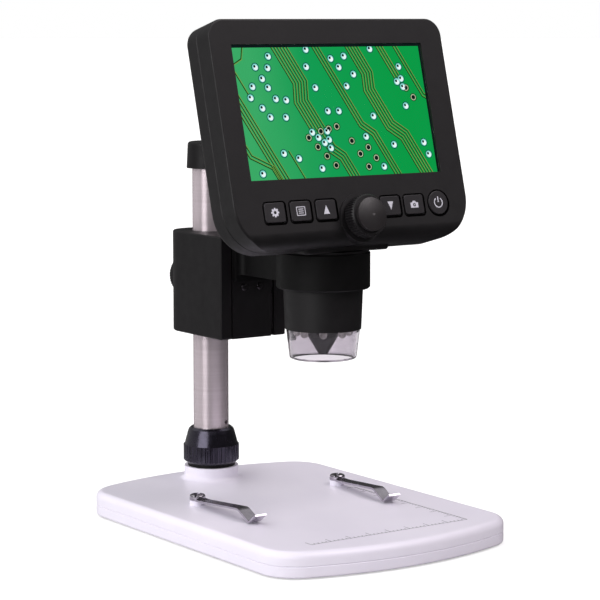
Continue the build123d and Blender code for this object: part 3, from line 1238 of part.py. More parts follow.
def make_dial_cap():
    edge = DIAL_CAP_FRONT - DIAL_CAP_EDGE
    cap = turned([(0, DIAL_CAP_SEAT + FIT), (DIAL_CAP_RADIUS, DIAL_CAP_SEAT + FIT), (DIAL_CAP_RADIUS, edge),
                  (0, edge)])
    bulge = (DIAL_CAP_RADIUS ** 2 + DIAL_CAP_EDGE ** 2) / (2 * DIAL_CAP_EDGE)
    dome = Pos(0, 0, DIAL_CAP_FRONT - bulge) * Sphere(bulge)
    dome &= rod(0, 0, edge - BITE, DIAL_CAP_FRONT + PAST, DIAL_CAP_RADIUS)
    return on_head(Pos(DIAL_X, DIAL_V, 0) * (cap + dome))


def make_focus_pinion():
    """Turned shaft with its small pinion at the inner end; a tooth points at the rack."""
    shaft = rod(0, 0, -FOCUS_PINION_BACK - FOCUS_SHAFT_END, DIAL_CAP_SEAT - FIT, DIAL_SHAFT_RADIUS)
    gear = spur_gear(FOCUS_MODULE, FOCUS_TEETH, FOCUS_PINION_BACK - FOCUS_PINION_FRONT, DIAL_SHAFT_RADIUS / 2)
    shaft += Pos(0, 0, -FOCUS_PINION_BACK) * gear
    return on_head(Pos(DIAL_X, DIAL_V, 0) * Rot(0, 0, 180) * shaft)


for key_name, key_x in SQUARE_KEYS:
    keep(key_name, make_square_key(key_x), BLACK)
keep("power_key", make_power_key(), BLACK)
keep("focus_dial", make_focus_dial(), BLACK)
keep("dial_cap", make_dial_cap(), BLACK)
keep("focus_pinion", make_focus_pinion(), BRASS)


# ================================================================ optics
def make_barrel():
    barrel = turned([(0, BARREL_BOTTOM), (BARREL_BOTTOM_RADIUS, BARREL_BOTTOM),
                     (BARREL_TOP_RADIUS, BARREL_TAPER_TOP), (BARREL_TOP_RADIUS, NECK_BOTTOM - FIT),
                     (0, NECK_BOTTOM - FIT)], 0, BARREL_Y)
    barrel -= rod(0, BARREL_Y, BARREL_BOTTOM, SEPTUM_BOTTOM, BARREL_BORE)
    upper = SEPTUM_BOTTOM + SEPTUM_THICKNESS
    barrel -= rod(0, BARREL_Y, upper, BARREL_RIM_BOTTOM, BARREL_BORE)
    barrel -= rod(0, BARREL_Y, BARREL_RIM_BOTTOM, NECK_BOTTOM, BARREL_UPPER_BORE)
    barrel -= rod(0, BARREL_Y, SEPTUM_BOTTOM, upper, HOOD_RADIUS + FIT)
    barrel += pipe(0, BARREL_Y, GUIDE_BOTTOM, GUIDE_TOP, BARREL_BORE + BITE, CARRIER_RADIUS + RUN)
    for post in range(LED_POST_COUNT):
        angle = radians(LED_POST_TURN + post * 360 / LED_POST_COUNT)
        x, y = LED_POST_RING * cos(angle), BARREL_Y + LED_POST_RING * sin(angle)
        low = LED_BOARD_BOTTOM + LED_BOARD_THICKNESS + FIT
        barrel += rod(x, y, low, SEPTUM_BOTTOM + BITE, LED_POST_RADIUS)
    for x, y in barrel_screw_places():
        barrel -= rod(x, y, NECK_BOTTOM - SMALL_SCREW_LENGTH, NECK_BOTTOM, SMALL_SCREW_RADIUS + THREAD)
    return barrel


def make_lens_hood():
    """Cone that shades the lens, hung by its flange on the barrel's inner floor."""
    floor = SEPTUM_BOTTOM + SEPTUM_THICKNESS + FIT
    wall = HOOD_WALL
    return turned([(HOOD_NOSE, HOOD_BOTTOM), (HOOD_RADIUS, HOOD_KNEE), (HOOD_RADIUS, floor),
                   (HOOD_FLANGE, floor), (HOOD_FLANGE, floor + wall), (HOOD_RADIUS - wall, floor + wall),
                   (HOOD_RADIUS - wall, HOOD_KNEE + wall / 2), (HOOD_NOSE - wall, HOOD_BOTTOM)], 0, BARREL_Y)


def make_lens_carrier():
    carrier = pipe(0, BARREL_Y, CARRIER_BOTTOM, CARRIER_TOP, CARRIER_RADIUS, CARRIER_BORE)
    lip = CARRIER_BORE - LENS_LIP
    for z in (FRONT_LENS_Z, REAR_LENS_Z):
        seat = z - lens_face(lip) - FIT
        carrier += pipe(0, BARREL_Y, seat - LENS_LIP_HEIGHT, seat, CARRIER_RADIUS, lip)
    line = focus_rack_line()
    front, back = FOCUS_RACK_FRONT, BARREL_Y - CARRIER_BORE
    bar = brick(FOCUS_RACK_LEFT, line + RACK_ADDENDUM * FOCUS_MODULE, front, back,
                FOCUS_RACK_BOTTOM, FOCUS_RACK_TOP)
    reach = FOCUS_RACK_TOP - FOCUS_RACK_BOTTOM
    toothed = rack_outline(FOCUS_MODULE, -reach, reach, FOCUS_RACK_LEFT - line - PAST)
    bar &= on_head(Pos(line, DIAL_V, -HEAD_THICKNESS - reach) * extrude(toothed, HEAD_THICKNESS + reach))
    bar -= rod(0, BARREL_Y, FOCUS_RACK_BOTTOM, FOCUS_RACK_TOP, CARRIER_BORE + BITE)
    return carrier + bar


def lens_curve():
    """Radius of each lens face."""
    return (LENS_RADIUS ** 2 + LENS_BULGE ** 2) / (2 * LENS_BULGE)


def lens_face(radius):
    """Height of a lens face over the lens's middle plane, at a distance from the axis."""
    return sqrt(lens_curve() ** 2 - radius ** 2) - lens_curve() + LENS_BULGE + LENS_EDGE / 2


def make_lens(z):
    """Biconvex glass with a flat rim."""
    half = LENS_EDGE / 2
    bulge = lens_curve()
    low = Pos(0, 0, bulge - half - LENS_BULGE) * Sphere(bulge)
    high = Pos(0, 0, half + LENS_BULGE - bulge) * Sphere(bulge)
    return Pos(0, BARREL_Y, z) * (rod(0, 0, -half - LENS_BULGE, half + LENS_BULGE, LENS_RADIUS) & low & high)


def make_sensor_board():
    low = SENSOR_BOARD_Z
    board = brick(-SENSOR_BOARD_HALF_X, SENSOR_BOARD_HALF_X, BARREL_Y - SENSOR_BOARD_HALF_Y,
                  BARREL_Y + SENSOR_BOARD_HALF_Y, low, low + SENSOR_BOARD_THICKNESS)
    half = SENSOR_SIZE / 2
    board += brick(-half, half, BARREL_Y - half, BARREL_Y + half, low - SENSOR_HEIGHT, low + BITE)
    for side in (-1, 1):
        board -= rod(side * SENSOR_POST_X, BARREL_Y, low, low + SENSOR_BOARD_THICKNESS,
                     SMALL_SCREW_RADIUS + HOLE_PLAY)
    return board


def make_led_board():
    low = LED_BOARD_BOTTOM
    return pipe(0, BARREL_Y, low, low + LED_BOARD_THICKNESS, LED_BOARD_RADIUS, HOOD_RADIUS + GAP)


def make_leds():
    lamps = []
    for lamp in range(LED_COUNT):
        angle = radians(LED_TURN + lamp * 360 / LED_COUNT)
        x, y = LED_RING_RADIUS * cos(angle), BARREL_Y + LED_RING_RADIUS * sin(angle)
        top = LED_BOARD_BOTTOM - FIT
        bulb = rod(x, y, top - LED_LENGTH + LED_RADIUS, top, LED_RADIUS)
        bulb += Pos(x, y, top - LED_LENGTH + LED_RADIUS) * Sphere(LED_RADIUS)
        lamps.append(bulb)
    return Compound(children=lamps)


def make_clear_shade():
    seat = BARREL_BOTTOM - RUN
    rim = BARREL_BORE - RUN
    shade = turned([(0, SHADE_FOOT), (SHADE_FOOT_RADIUS - SHADE_FLARE, SHADE_FOOT), (SHADE_RADIUS, seat),
                    (rim, seat), (rim, seat + SHADE_RIM_HEIGHT), (0, seat + SHADE_RIM_HEIGHT)], 0, BARREL_Y)
    foot = [e for e in shade.edges().filter_by(GeomType.CIRCLE) if abs(e.center().Z - SHADE_FOOT) < 0.01]
    shade = fillet(foot, SHADE_ROUND)
    wall = SHADE_WALL
    shade -= turned([(0, SHADE_FOOT + SHADE_FLOOR), (SHADE_FOOT_RADIUS - wall, SHADE_FOOT + SHADE_FLOOR),
                     (rim - wall, seat - SHADE_RIM_ROOT), (rim - wall, seat + SHADE_RIM_HEIGHT),
                     (0, seat + SHADE_RIM_HEIGHT)], 0, BARREL_Y)
    return shade - rod(0, BARREL_Y, SHADE_FOOT, SHADE_FOOT + SHADE_FLOOR, SHADE_OPENING)


keep("barrel_housing", make_barrel(), BLACK)
keep("lens_hood", make_lens_hood(), BLACK)
keep("lens_carrier", make_lens_carrier(), BRASS)
keep("front_lens", make_lens(FRONT_LENS_Z), CLEAR)
keep("rear_lens", make_lens(REAR_LENS_Z), CLEAR)
keep("sensor_board", make_sensor_board(), GREEN)
keep("led_board", make_led_board(), WHITE)
keep("leds", make_leds(), CLEAR)
keep("clear_shade", make_clear_shade(), CLEAR)


# ================================================================ small fasteners of the head
def make_case_screws():
    screws = []
    low = CASE_SCREW_SEAT - CASE_SCREW_HEAD_HEIGHT
    for x, v in case_boss_places():
        screw = rod(x, v, low, CASE_SCREW_SEAT - FIT, CASE_SCREW_HEAD)
        screw += rod(x, v, CASE_SCREW_SEAT - BITE, CASE_SCREW_TIP, CASE_SCREW_RADIUS)
        screw -= rod(x, v, low, low + CASE_SOCKET_DEPTH, CASE_SCREW_HEAD / 2)
        screws.append(on_head(screw))
    return Compound(children=screws)


def small_screw():
    """Pan-head screw with its seat on z = 0, head above."""
    screw = rod(0, 0, FIT, SMALL_SCREW_HEAD_HEIGHT, SMALL_SCREW_HEAD)
    screw += rod(0, 0, BITE - SMALL_SCREW_LENGTH, BITE, SMALL_SCREW_RADIUS)
    return screw - rod(0, 0, SMALL_SCREW_HEAD_HEIGHT - SMALL_SOCKET_DEPTH, SMALL_SCREW_HEAD_HEIGHT,
                       SMALL_SCREW_HEAD / 2)


def make_small_screws():
    """Like screws that hold the boards and the barrel."""
    screws = [on_head(Pos(x, v, BOARD_FRONT) * small_screw()) for x, v in BOARD_POSTS]
    screws += [on_head(Pos(x, KEY_BOARD_POST_V, KEY_BOARD_BACK) * Rot(180, 0, 0) * small_screw())
               for x in KEY_BOARD_POSTS]
    top = SENSOR_BOARD_Z + SENSOR_BOARD_THICKNESS
    screws += [Pos(side * SENSOR_POST_X, BARREL_Y, top) * small_screw() for side in (-1, 1)]
    screws += [Pos(x, y, NECK_FLOOR_TOP) * small_screw() for x, y in barrel_screw_places()]
    return Compound(children=screws)


keep("case_screws", make_case_screws(), STEEL)
keep("small_screws", make_small_screws(), STEEL)

for piece_name, piece in PIECES.items():
    export_step(piece, f"parts/{piece_name}.step")
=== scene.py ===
import math
import random

import bmesh
import bpy
from mathutils import Euler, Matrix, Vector


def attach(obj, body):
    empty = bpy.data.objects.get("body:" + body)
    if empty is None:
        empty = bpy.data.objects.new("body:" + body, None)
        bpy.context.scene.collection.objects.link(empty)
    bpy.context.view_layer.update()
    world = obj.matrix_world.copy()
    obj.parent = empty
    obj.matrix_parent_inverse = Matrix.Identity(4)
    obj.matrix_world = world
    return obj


# The looks of a digital microscope: a tilted screen head over a white stage with a steel column.
# Lengths are in metres unless a name ends in _MM. +Z is up, +Y runs back to the column.

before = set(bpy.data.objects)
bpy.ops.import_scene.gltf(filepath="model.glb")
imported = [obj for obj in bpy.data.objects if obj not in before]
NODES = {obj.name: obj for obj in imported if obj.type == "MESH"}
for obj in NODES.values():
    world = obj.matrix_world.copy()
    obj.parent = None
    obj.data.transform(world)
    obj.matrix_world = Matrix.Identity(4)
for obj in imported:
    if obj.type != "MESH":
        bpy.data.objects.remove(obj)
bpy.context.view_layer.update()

MM = 0.001

# The screen head leans back, and these are the directions across, up and out of its face.
HEAD_TILT = math.radians(15.0)
FACE_RIGHT = Vector((1, 0, 0))
FACE_UP = Vector((0, math.sin(HEAD_TILT), math.cos(HEAD_TILT)))
FACE_OUT = Vector((0, -math.cos(HEAD_TILT), math.sin(HEAD_TILT)))

# The view: where the camera stands, where it looks and its lens on a 36 mm sensor.
CAMERA_AT = Vector((-0.5504, -0.7908, 0.2215))
CAMERA_TURN = math.radians(-34.98)
CAMERA_DOWN = math.radians(7.19)
CAMERA_LENS_MM = 135.45
SENSOR_MM = 36.0

BLACK = (0.0, 0.0, 0.0, 1.0)
WHITE = (1.0, 1.0, 1.0, 1.0)

PRINT = 0.02 * MM           # how far ink stands proud of what it is printed on
PRINT_SUNK = 0.01 * MM      # how far it bites in, so that nothing shows under it


def srgb(red, green, blue):
    """A colour for a shader from its 0 to 255 screen values."""
    linear = []
    for value in (red, green, blue):
        part = value / 255
        linear.append(part / 12.92 if part <= 0.04045 else ((part + 0.055) / 1.055) ** 2.4)
    return (*linear, 1.0)


# ---------------------------------------------------------------- finishes

# What Finish calls the shader's sockets.
SOCKETS = {"metal": "Metallic", "gloss": "Specular IOR Level", "tint": "Specular Tint",
           "coat": "Coat Weight", "coat_roughness": "Coat Roughness",
           "clear": "Transmission Weight", "ior": "IOR",
           "glow": "Emission Strength", "glow_colour": "Emission Color",
           "brushed": "Anisotropic", "brushed_turn": "Anisotropic Rotation"}


class Finish:
    """A procedural material: one Principled shader and the patterns that feed it."""

    def __init__(self, name, colour, roughness, **others):
        self.made = bpy.data.materials.new(name)
        self.made.use_nodes = True
        self.tree = self.made.node_tree
        self.shader = self.tree.nodes["Principled BSDF"]
        self.place = self.add("ShaderNodeTexCoord").outputs["Object"]
        self.shader.inputs["Base Color"].default_value = colour
        self.shader.inputs["Roughness"].default_value = roughness
        for short, value in others.items():
            self.shader.inputs[SOCKETS[short]].default_value = value

    def add(self, kind, **values):
        """A new node of that kind, with its settings."""
        node = self.tree.nodes.new(kind)
        for name, value in values.items():
            setattr(node, name, value)
        return node

    def link(self, source, target):
        self.tree.links.new(source, target)

    def feed(self, socket, source):
        self.link(source, self.shader.inputs[socket])

    def noise(self, size, detail=2.0, stretch=(1, 1, 1)):
        """Soft random blotches about as large as size, in metres."""
        mapping = self.add("ShaderNodeMapping")
        mapping.inputs["Scale"].default_value = [1 / (size * part) for part in stretch]
        self.link(self.place, mapping.inputs["Vector"])
        made = self.add("ShaderNodeTexNoise")
        made.inputs["Scale"].default_value = 1.0
        made.inputs["Detail"].default_value = detail
        self.link(mapping.outputs["Vector"], made.inputs["Vector"])
        return made.outputs["Fac"]

    def cells(self, size):
        """The distance to the nearest of many scattered points, size apart."""
        made = self.add("ShaderNodeTexVoronoi")
        made.inputs["Scale"].default_value = 1 / size
        self.link(self.place, made.inputs["Vector"])
        return made.outputs["Distance"]

    def along(self, axis):
        """The position along X, Y or Z, in metres."""
        parts = self.add("ShaderNodeSeparateXYZ")
        self.link(self.place, parts.inputs["Vector"])
        return parts.outputs[axis]

    def ramp(self, source, *stops):
        """Colours between stops, each a place from 0 to 1 and its colour."""
        made = self.add("ShaderNodeValToRGB")
        marks = made.color_ramp.elements
        while len(marks) < len(stops):
            marks.new(0.5)
        for mark, (where, colour) in zip(marks, stops):
            mark.position = where
            mark.color = colour
        self.link(source, made.inputs["Fac"])
        return made.outputs["Color"]

    def spread(self, source, low, high, start=0.3, stop=0.7):
        """The source's start to stop, stretched to run from low to high."""
        made = self.add("ShaderNodeMapRange")
        for name, value in (("From Min", start), ("From Max", stop), ("To Min", low), ("To Max", high)):
            made.inputs[name].default_value = value
        self.link(source, made.inputs["Value"])
        return made.outputs["Result"]

    def mixed(self, share, first, second):
        """first and second mixed by share; each is a colour or a socket."""
        made = self.add("ShaderNodeMix", data_type="RGBA")
        self.link(share, made.inputs["Factor"])
        for name, value in (("A", first), ("B", second)):
            socket = [one for one in made.inputs if one.name == name and one.type == "RGBA"][0]
            if isinstance(value, tuple):
                socket.default_value = value
            else:
                self.link(value, socket)
        return [one for one in made.outputs if one.type == "RGBA"][0]

    def edges(self, radius):
        """About 1 on outer and inner edges of that radius, and 0 on flat ground."""
        bevel = self.add("ShaderNodeBevel", samples=4)
        bevel.inputs["Radius"].default_value = radius
        plain = self.add("ShaderNodeNewGeometry")
        product = self.add("ShaderNodeVectorMath", operation="DOT_PRODUCT")
        self.link(bevel.outputs["Normal"], product.inputs[0])
        self.link(plain.outputs["Normal"], product.inputs[1])
        return self.spread(product.outputs["Value"], 1.0, 0.0, 0.75, 1.0)

    def bump(self, source, height):
        """Surface relief of that height."""
        made = self.add("ShaderNodeBump")
        made.inputs["Strength"].default_value = 1.0
        made.inputs["Distance"].default_value = height
        self.link(source, made.inputs["Height"])
        return made.outputs["Normal"]


EDGE_WEAR_AND_HIGHLIGHT = 0.35 * MM      # how far from its edges moulded plastic is painted paler: partly wear, partly a painted edge highlight


def moulded(name, dark, light, roughness, gloss, grain=0.35 * MM, relief=0.006 * MM):
    """Moulded plastic: fine spark-eroded grain, cloudy tone and paler edges, which are partly wear and partly
    a painted edge highlight.
    """
    made = Finish(name, dark, roughness, gloss=gloss)
    cloud = made.noise(18 * MM, 3)
    tone = made.ramp(cloud, (0.35, dark), (0.7, light))
    # Paler edges: partly wear, partly a painted edge highlight.
    worn_and_lit = tuple(min(1.0, part * 1.7 + 0.004) for part in light[:3]) + (1.0,)
    made.feed("Base Color", made.mixed(made.edges(EDGE_WEAR_AND_HIGHLIGHT), tone, worn_and_lit))
    made.feed("Roughness", made.spread(made.noise(5 * MM, 4), roughness - 0.05, roughness + 0.06))
    made.feed("Normal", made.bump(made.noise(grain, 2), relief))
    return made.made


def white_plastic():
    """The stage's white moulding, faintly lavender, with a soft gloss."""
    made = Finish("white_plastic_gloss", srgb(228, 223, 236), 0.32, gloss=0.45)
    cloud = made.ramp(made.noise(30 * MM, 2), (0.3, srgb(227, 222, 235)), (0.7, srgb(231, 226, 238)))
    made.feed("Base Color", cloud)
    made.feed("Roughness", made.spread(made.noise(24 * MM, 1), 0.29, 0.35))
    return made.made


def turned_steel(name, dark, light, roughness, grain):
    """Steel with fine lines of grinding round the Z axis, which draw each reflection out along it."""
    made = Finish(name, light, roughness, metal=0.7, brushed=0.85, brushed_turn=0.25)
    tangent = made.add("ShaderNodeTangent", direction_type="RADIAL", axis="Z")
    made.feed("Tangent", tangent.outputs["Tangent"])
    lines = made.noise(grain, 3, (60, 60, 1))
    made.feed("Base Color", made.ramp(lines, (0.3, dark), (0.7, light)))
    made.feed("Roughness", made.spread(lines, roughness - 0.03, roughness + 0.03))
    return made.made


def bright_metal(name, dark, light, roughness, grain=0.5 * MM, relief=0.001 * MM):
    """Plated or turned metal with faint smears and rubbed spots."""
    made = Finish(name, light, roughness, metal=1.0)
    smear = made.noise(4 * MM, 4)
    made.feed("Base Color", made.ramp(smear, (0.3, dark), (0.65, light)))
    made.feed("Roughness", made.spread(smear, roughness * 0.7, roughness * 1.4))
    made.feed("Normal", made.bump(made.noise(grain, 3), relief))
    return made.made


def gloss_black():
    """The lock nut's polished black plastic, with a faint violet in its shine."""
    made = Finish("nut_gloss_black", srgb(14, 12, 15), 0.22, gloss=0.9,
                  tint=srgb(226, 218, 255), coat=0.25, coat_roughness=0.10)
    # Paler edges: partly wear, partly a painted edge highlight.
    made.feed("Base Color", made.mixed(made.edges(0.3 * MM), srgb(13, 11, 14), srgb(34, 31, 37)))
    made.feed("Roughness", made.spread(made.noise(3 * MM, 3), 0.18, 0.30))
    made.feed("Normal", made.bump(made.noise(0.8 * MM, 2), 0.002 * MM))
    return made.made


def rubber():
    """The feet's matt rubber, dusty in patches."""
    made = Finish("foot_rubber", srgb(30, 29, 30), 0.8, gloss=0.3)
    dust = made.noise(2 * MM, 4)
    made.feed("Base Color", made.ramp(dust, (0.3, srgb(24, 23, 24)), (0.7, srgb(44, 42, 43))))
    made.feed("Normal", made.bump(made.noise(0.3 * MM, 3), 0.02 * MM))
    return made.made


def nylon():
    """Black nylon for the pieces that others slide and turn in."""
    made = Finish("bush_nylon", srgb(32, 31, 33), 0.42, gloss=0.4)
    cloud = made.noise(5 * MM, 3)
    made.feed("Base Color", made.ramp(cloud, (0.3, srgb(28, 27, 29)), (0.7, srgb(38, 37, 39))))
    made.feed("Roughness", made.spread(made.noise(1 * MM, 3), 0.36, 0.5))
    return made.made


def circuit_board():
    """Green solder mask with bare lands, seen only when the case is open."""
    made = Finish("board_solder_mask", srgb(18, 92, 52), 0.35, coat=0.3)
    lands = made.ramp(made.cells(2.4 * MM), (0.10, srgb(208, 196, 150)), (0.16, srgb(20, 96, 56)),
                      (0.55, srgb(20, 96, 56)), (0.6, srgb(30, 122, 70)))
    made.feed("Base Color", lands)
    made.feed("Roughness", made.spread(made.noise(2 * MM, 2), 0.3, 0.45))
    return made.made


def cell_wrap():
    """The battery's creased metal foil, painted darker in the low parts of its creases as shade."""
    made = Finish("battery_foil", srgb(176, 178, 182), 0.38, metal=0.7)
    crease = made.noise(6 * MM, 5)
    # The colour follows the crease relief: painted shade in the low parts of the folds.
    made.feed("Base Color", made.ramp(crease, (0.3, srgb(150, 152, 157)), (0.7, srgb(196, 198, 201))))
    made.feed("Normal", made.bump(crease, 0.12 * MM))
    return made.made


def window_glass():
    """The hard clear window: smooth, with the faintest film of fingerprints."""
    made = Finish("window_clear", WHITE, 0.0, clear=1.0, ior=1.45, gloss=0.5)
    made.feed("Roughness", made.spread(made.noise(12 * MM, 5), 0.0, 0.03, 0.5, 0.8))
    return made.made


def lens_glass():
    """Coated glass with a faint blue cast."""
    made = Finish("lens_coated", srgb(238, 244, 250), 0.0, clear=1.0, ior=1.52)
    made.feed("Roughness", made.spread(made.noise(3 * MM, 2), 0.0, 0.02))
    return made.made


def clear_plastic():
    """The pull-off shade's clear acrylic, a little smoky, with fine rub marks."""
    made = Finish("shade_clear", srgb(210, 205, 211), 0.03, clear=1.0, ior=1.49)
    rubs = made.noise(6 * MM, 4, (1, 1, 0.3))
    made.feed("Base Color", made.ramp(rubs, (0.3, srgb(207, 202, 209)), (0.7, srgb(213, 208, 214))))
    made.feed("Roughness", made.spread(rubs, 0.01, 0.06))
    return made.made


def led_lens():
    """The lamps' milky epoxy domes."""
    made = Finish("led_epoxy", srgb(236, 234, 226), 0.12, clear=0.55, ior=1.5)
    milk = made.noise(1.5 * MM, 2)
    made.feed("Base Color", made.ramp(milk, (0.3, srgb(226, 224, 214)), (0.7, srgb(244, 243, 238))))
    return made.made


def display_stack():
    """The display's dark polariser, which shows round its picture."""
    made = Finish("display_polariser", srgb(16, 17, 19), 0.3)
    cloud = made.noise(20 * MM, 2)
    made.feed("Base Color", made.ramp(cloud, (0.3, srgb(14, 15, 17)), (0.7, srgb(20, 21, 24))))
    made.feed("Roughness", made.spread(made.noise(3 * MM, 3), 0.25, 0.36))
    return made.made


def lit(name, first, last, size=26 * MM):
    """A tone of the lit picture: it glows by itself, and drifts slowly from its first colour to its last."""
    made = Finish(name, BLACK, 0.5, glow=1.0, gloss=0.0)
    made.feed("Emission Color", made.ramp(made.noise(size, 2), (0.25, first), (0.75, last)))
    return made.made


def picture_green():
    """The lit board's green, which is paler toward the left of the display."""
    made = Finish("picture_green", BLACK, 0.5, glow=1.0, gloss=0.0)
    drift = made.add("ShaderNodeMath", operation="MULTIPLY_ADD")
    made.link(made.noise(40 * MM, 2), drift.inputs[0])
    drift.inputs[1].default_value = 0.4
    made.link(made.spread(made.along("X"), -0.2, 0.8, -46 * MM, 40 * MM), drift.inputs[2])
    made.feed("Emission Color", made.ramp(drift.outputs["Value"], (0.05, srgb(58, 174, 104)),
                                          (0.45, srgb(12, 160, 84)), (0.9, srgb(0, 158, 70))))
    return made.made


def ink(name, colour, worn, roughness=0.5, gloss=0.5):
    """Printed ink with slightly uneven cover."""
    made = Finish(name, colour, roughness, gloss=gloss)
    made.feed("Base Color", made.ramp(made.noise(0.6 * MM, 3), (0.35, worn), (0.6, colour)))
    return made.made


def make_finishes():
    """The finish of each of the record's material slots."""
    return {
        "white_plastic": white_plastic(),
        "black_plastic": moulded("case_black", srgb(15, 12, 15), srgb(18, 15, 18), 0.50, 0.52),
        "gloss_black": gloss_black(),
        "key_plastic": moulded("key_black", srgb(28, 25, 29), srgb(31, 28, 32), 0.48, 0.60,
                               grain=0.25 * MM, relief=0.004 * MM),
        "steel": turned_steel("column_steel", srgb(228, 214, 220), srgb(236, 223, 229), 0.24, 1.2 * MM),
        "black_steel": bright_metal("blackened_steel", srgb(70, 66, 70), srgb(92, 88, 92), 0.30),
        "chrome": bright_metal("clip_chrome", srgb(172, 166, 176), srgb(194, 189, 198), 0.2),
        "brass": bright_metal("gear_brass", srgb(186, 148, 84), srgb(214, 178, 108), 0.28),
        "aluminium": bright_metal("turned_aluminium", srgb(176, 176, 178), srgb(200, 200, 203), 0.34),
        "black_nylon": nylon(),
        "rubber": rubber(),
        "circuit_board": circuit_board(),
        "cell_wrap": cell_wrap(),
        "screen_glass": window_glass(),
        "display": display_stack(),
        "optical_glass": lens_glass(),
        "clear_plastic": clear_plastic(),
        "led_lens": led_lens(),
    }


def make_own_finishes():
    """Finishes of single nodes that differ from the rest of their slot."""
    bracket = moulded("bracket_black", srgb(14, 11, 14), srgb(17, 14, 17), 0.50, 0.34)
    return {
        "bracket_block": bracket,
        "slide_block": bracket,
        # The arm and its ring get a darker copy of the case black: painted shade where they sit under the
        # head.
        "holder_arm": moulded("arm_shaded_black", srgb(8, 7, 8), srgb(10, 9, 10), 0.52, 0.22),
        "collet_sleeve": moulded("collet_black", srgb(8, 7, 8), srgb(11, 10, 11), 0.45, 0.2),
        "column_cap": moulded("column_cap_black", srgb(13, 10, 13), srgb(16, 13, 16), 0.46, 0.34),
        "dial_cap": moulded("cap_black", srgb(30, 26, 28), srgb(33, 29, 31), 0.44, 0.75),
    }


# ---------------------------------------------------------------- flat marks

def circle(centre, radius, sides=24, start=0.0, stop=math.tau):
    """Points round a circle, or along an arc of it with both its ends."""
    whole = stop - start >= math.tau
    steps = sides if whole else sides - 1
    return [centre + Vector((math.cos(start + (stop - start) * i / steps),
                             math.sin(start + (stop - start) * i / steps))) * radius
            for i in range(sides)]


def offset(path, distance):
    """The path moved to its left, with mitred corners."""
    steps = [(path[i + 1] - path[i]).normalized() for i in range(len(path) - 1)]
    steps = [steps[0], *steps, steps[-1]]
    moved = []
    for point, before, after in zip(path, steps, steps[1:]):
        normal = Vector((-before.y, before.x))
        middle = (normal + Vector((-after.y, after.x))).normalized()
        moved.append(point + middle * (distance / middle.dot(normal)))
    return moved


class Marks:
    """Flat marks on one plane, each a thin closed plate, kept as one mesh."""

    def __init__(self, origin, right, up):
        self.origin = origin
        self.right = right
        self.up = up
        self.out = right.cross(up)
        self.mesh = bmesh.new()

    def rise(self, points, height):
        """The points, set out on the plane and raised off it by that height."""
        return [self.mesh.verts.new(self.origin + self.right * p.x + self.up * p.y + self.out * height)
                for p in points]

    def face(self, corners, finish):
        self.mesh.faces.new(corners).material_index = finish

    def plate(self, outline, finish=0, low=-PRINT_SUNK, high=PRINT):
        """A plate with that outline, which runs counter-clockwise."""
        top = self.rise(outline, high)
        bottom = self.rise(outline, low)
        self.face(top, finish)
        self.face(bottom[::-1], finish)
        for i in range(len(top)):
            self.face([bottom[i - 1], bottom[i], top[i], top[i - 1]], finish)

    def band(self, left, right, finish=0, low=-PRINT_SUNK, high=PRINT, closed=False):
        """A plate between two rows of points, the first on the left of the way they run."""
        rows = [self.rise(points, height) for height in (high, low) for points in (left, right)]
        top_left, top_right, low_left, low_right = rows
        for i in range(0 if closed else 1, len(left)):
            self.face([top_right[i - 1], top_right[i], top_left[i], top_left[i - 1]], finish)
            self.face([low_left[i - 1], low_left[i], low_right[i], low_right[i - 1]], finish)
            self.face([top_left[i - 1], top_left[i], low_left[i], low_left[i - 1]], finish)
            self.face([low_right[i - 1], low_right[i], top_right[i], top_right[i - 1]], finish)
        if not closed:
            self.face([low_left[0], low_right[0], top_right[0], top_left[0]], finish)
            self.face([top_left[-1], top_right[-1], low_right[-1], low_left[-1]], finish)

    def line(self, path, width, finish=0, **heights):
        """A line of even width, with square ends."""
        self.band(offset(path, width / 2), offset(path, -width / 2), finish, **heights)

    def ring(self, centre, outer, inner, finish=0, sides=24, **heights):
        self.band(circle(centre, inner, sides), circle(centre, outer, sides), finish, closed=True, **heights)

    def disc(self, centre, radius, finish=0, sides=20, **heights):
        self.plate(circle(centre, radius, sides), finish, **heights)

    def box(self, near, far, finish=0, **heights):
        """A plate from its lower left corner to its upper right one."""
        self.plate([Vector(near), Vector((far[0], near[1])), Vector(far), Vector((near[0], far[1]))],
                   finish, **heights)

    def piece(self, name, body, slot, *finishes):
        """Turns the marks into one piece, which rides on that body."""
        data = bpy.data.meshes.new(name)
        self.mesh.to_mesh(data)
        self.mesh.free()
        for finish in finishes:
            data.materials.append(finish)
        made = bpy.data.objects.new(name, data)
        bpy.context.scene.collection.objects.link(made)
        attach(made, body)
        return made


def face_box(node):
    """The middle, width, height and front of a CAD node, measured in the head's tilted face."""
    points = [vertex.co for vertex in NODES[node].data.vertices]
    across = [point.dot(FACE_RIGHT) for point in points]
    upward = [point.dot(FACE_UP) for point in points]
    front = max(point.dot(FACE_OUT) for point in points)
    middle = FACE_RIGHT * (min(across) + max(across)) / 2 + FACE_UP * (min(upward) + max(upward)) / 2
    return middle + FACE_OUT * front, max(across) - min(across), max(upward) - min(upward)


# ---------------------------------------------------------------- signs on the keys
# Each sign is drawn round the middle of its key, with its parts as shares of the sign's size.

SIGN_WHITE, SIGN_DARK = range(2)


def gear_sign(marks, size):
    """A cog with eight teeth."""
    teeth = 8
    root = size * 0.37
    tip = size * 0.5
    outer, inner = [], []
    for i in range(teeth):
        middle = math.tau * i / teeth
        for turn, radius in ((-0.30, root), (-0.18, tip), (0.18, tip), (0.30, root)):
            angle = middle + turn
            outer.append(Vector((math.cos(angle), math.sin(angle))) * radius)
            inner.append(Vector((math.cos(angle), math.sin(angle))) * size * 0.17)
    marks.band(inner, outer, closed=True)


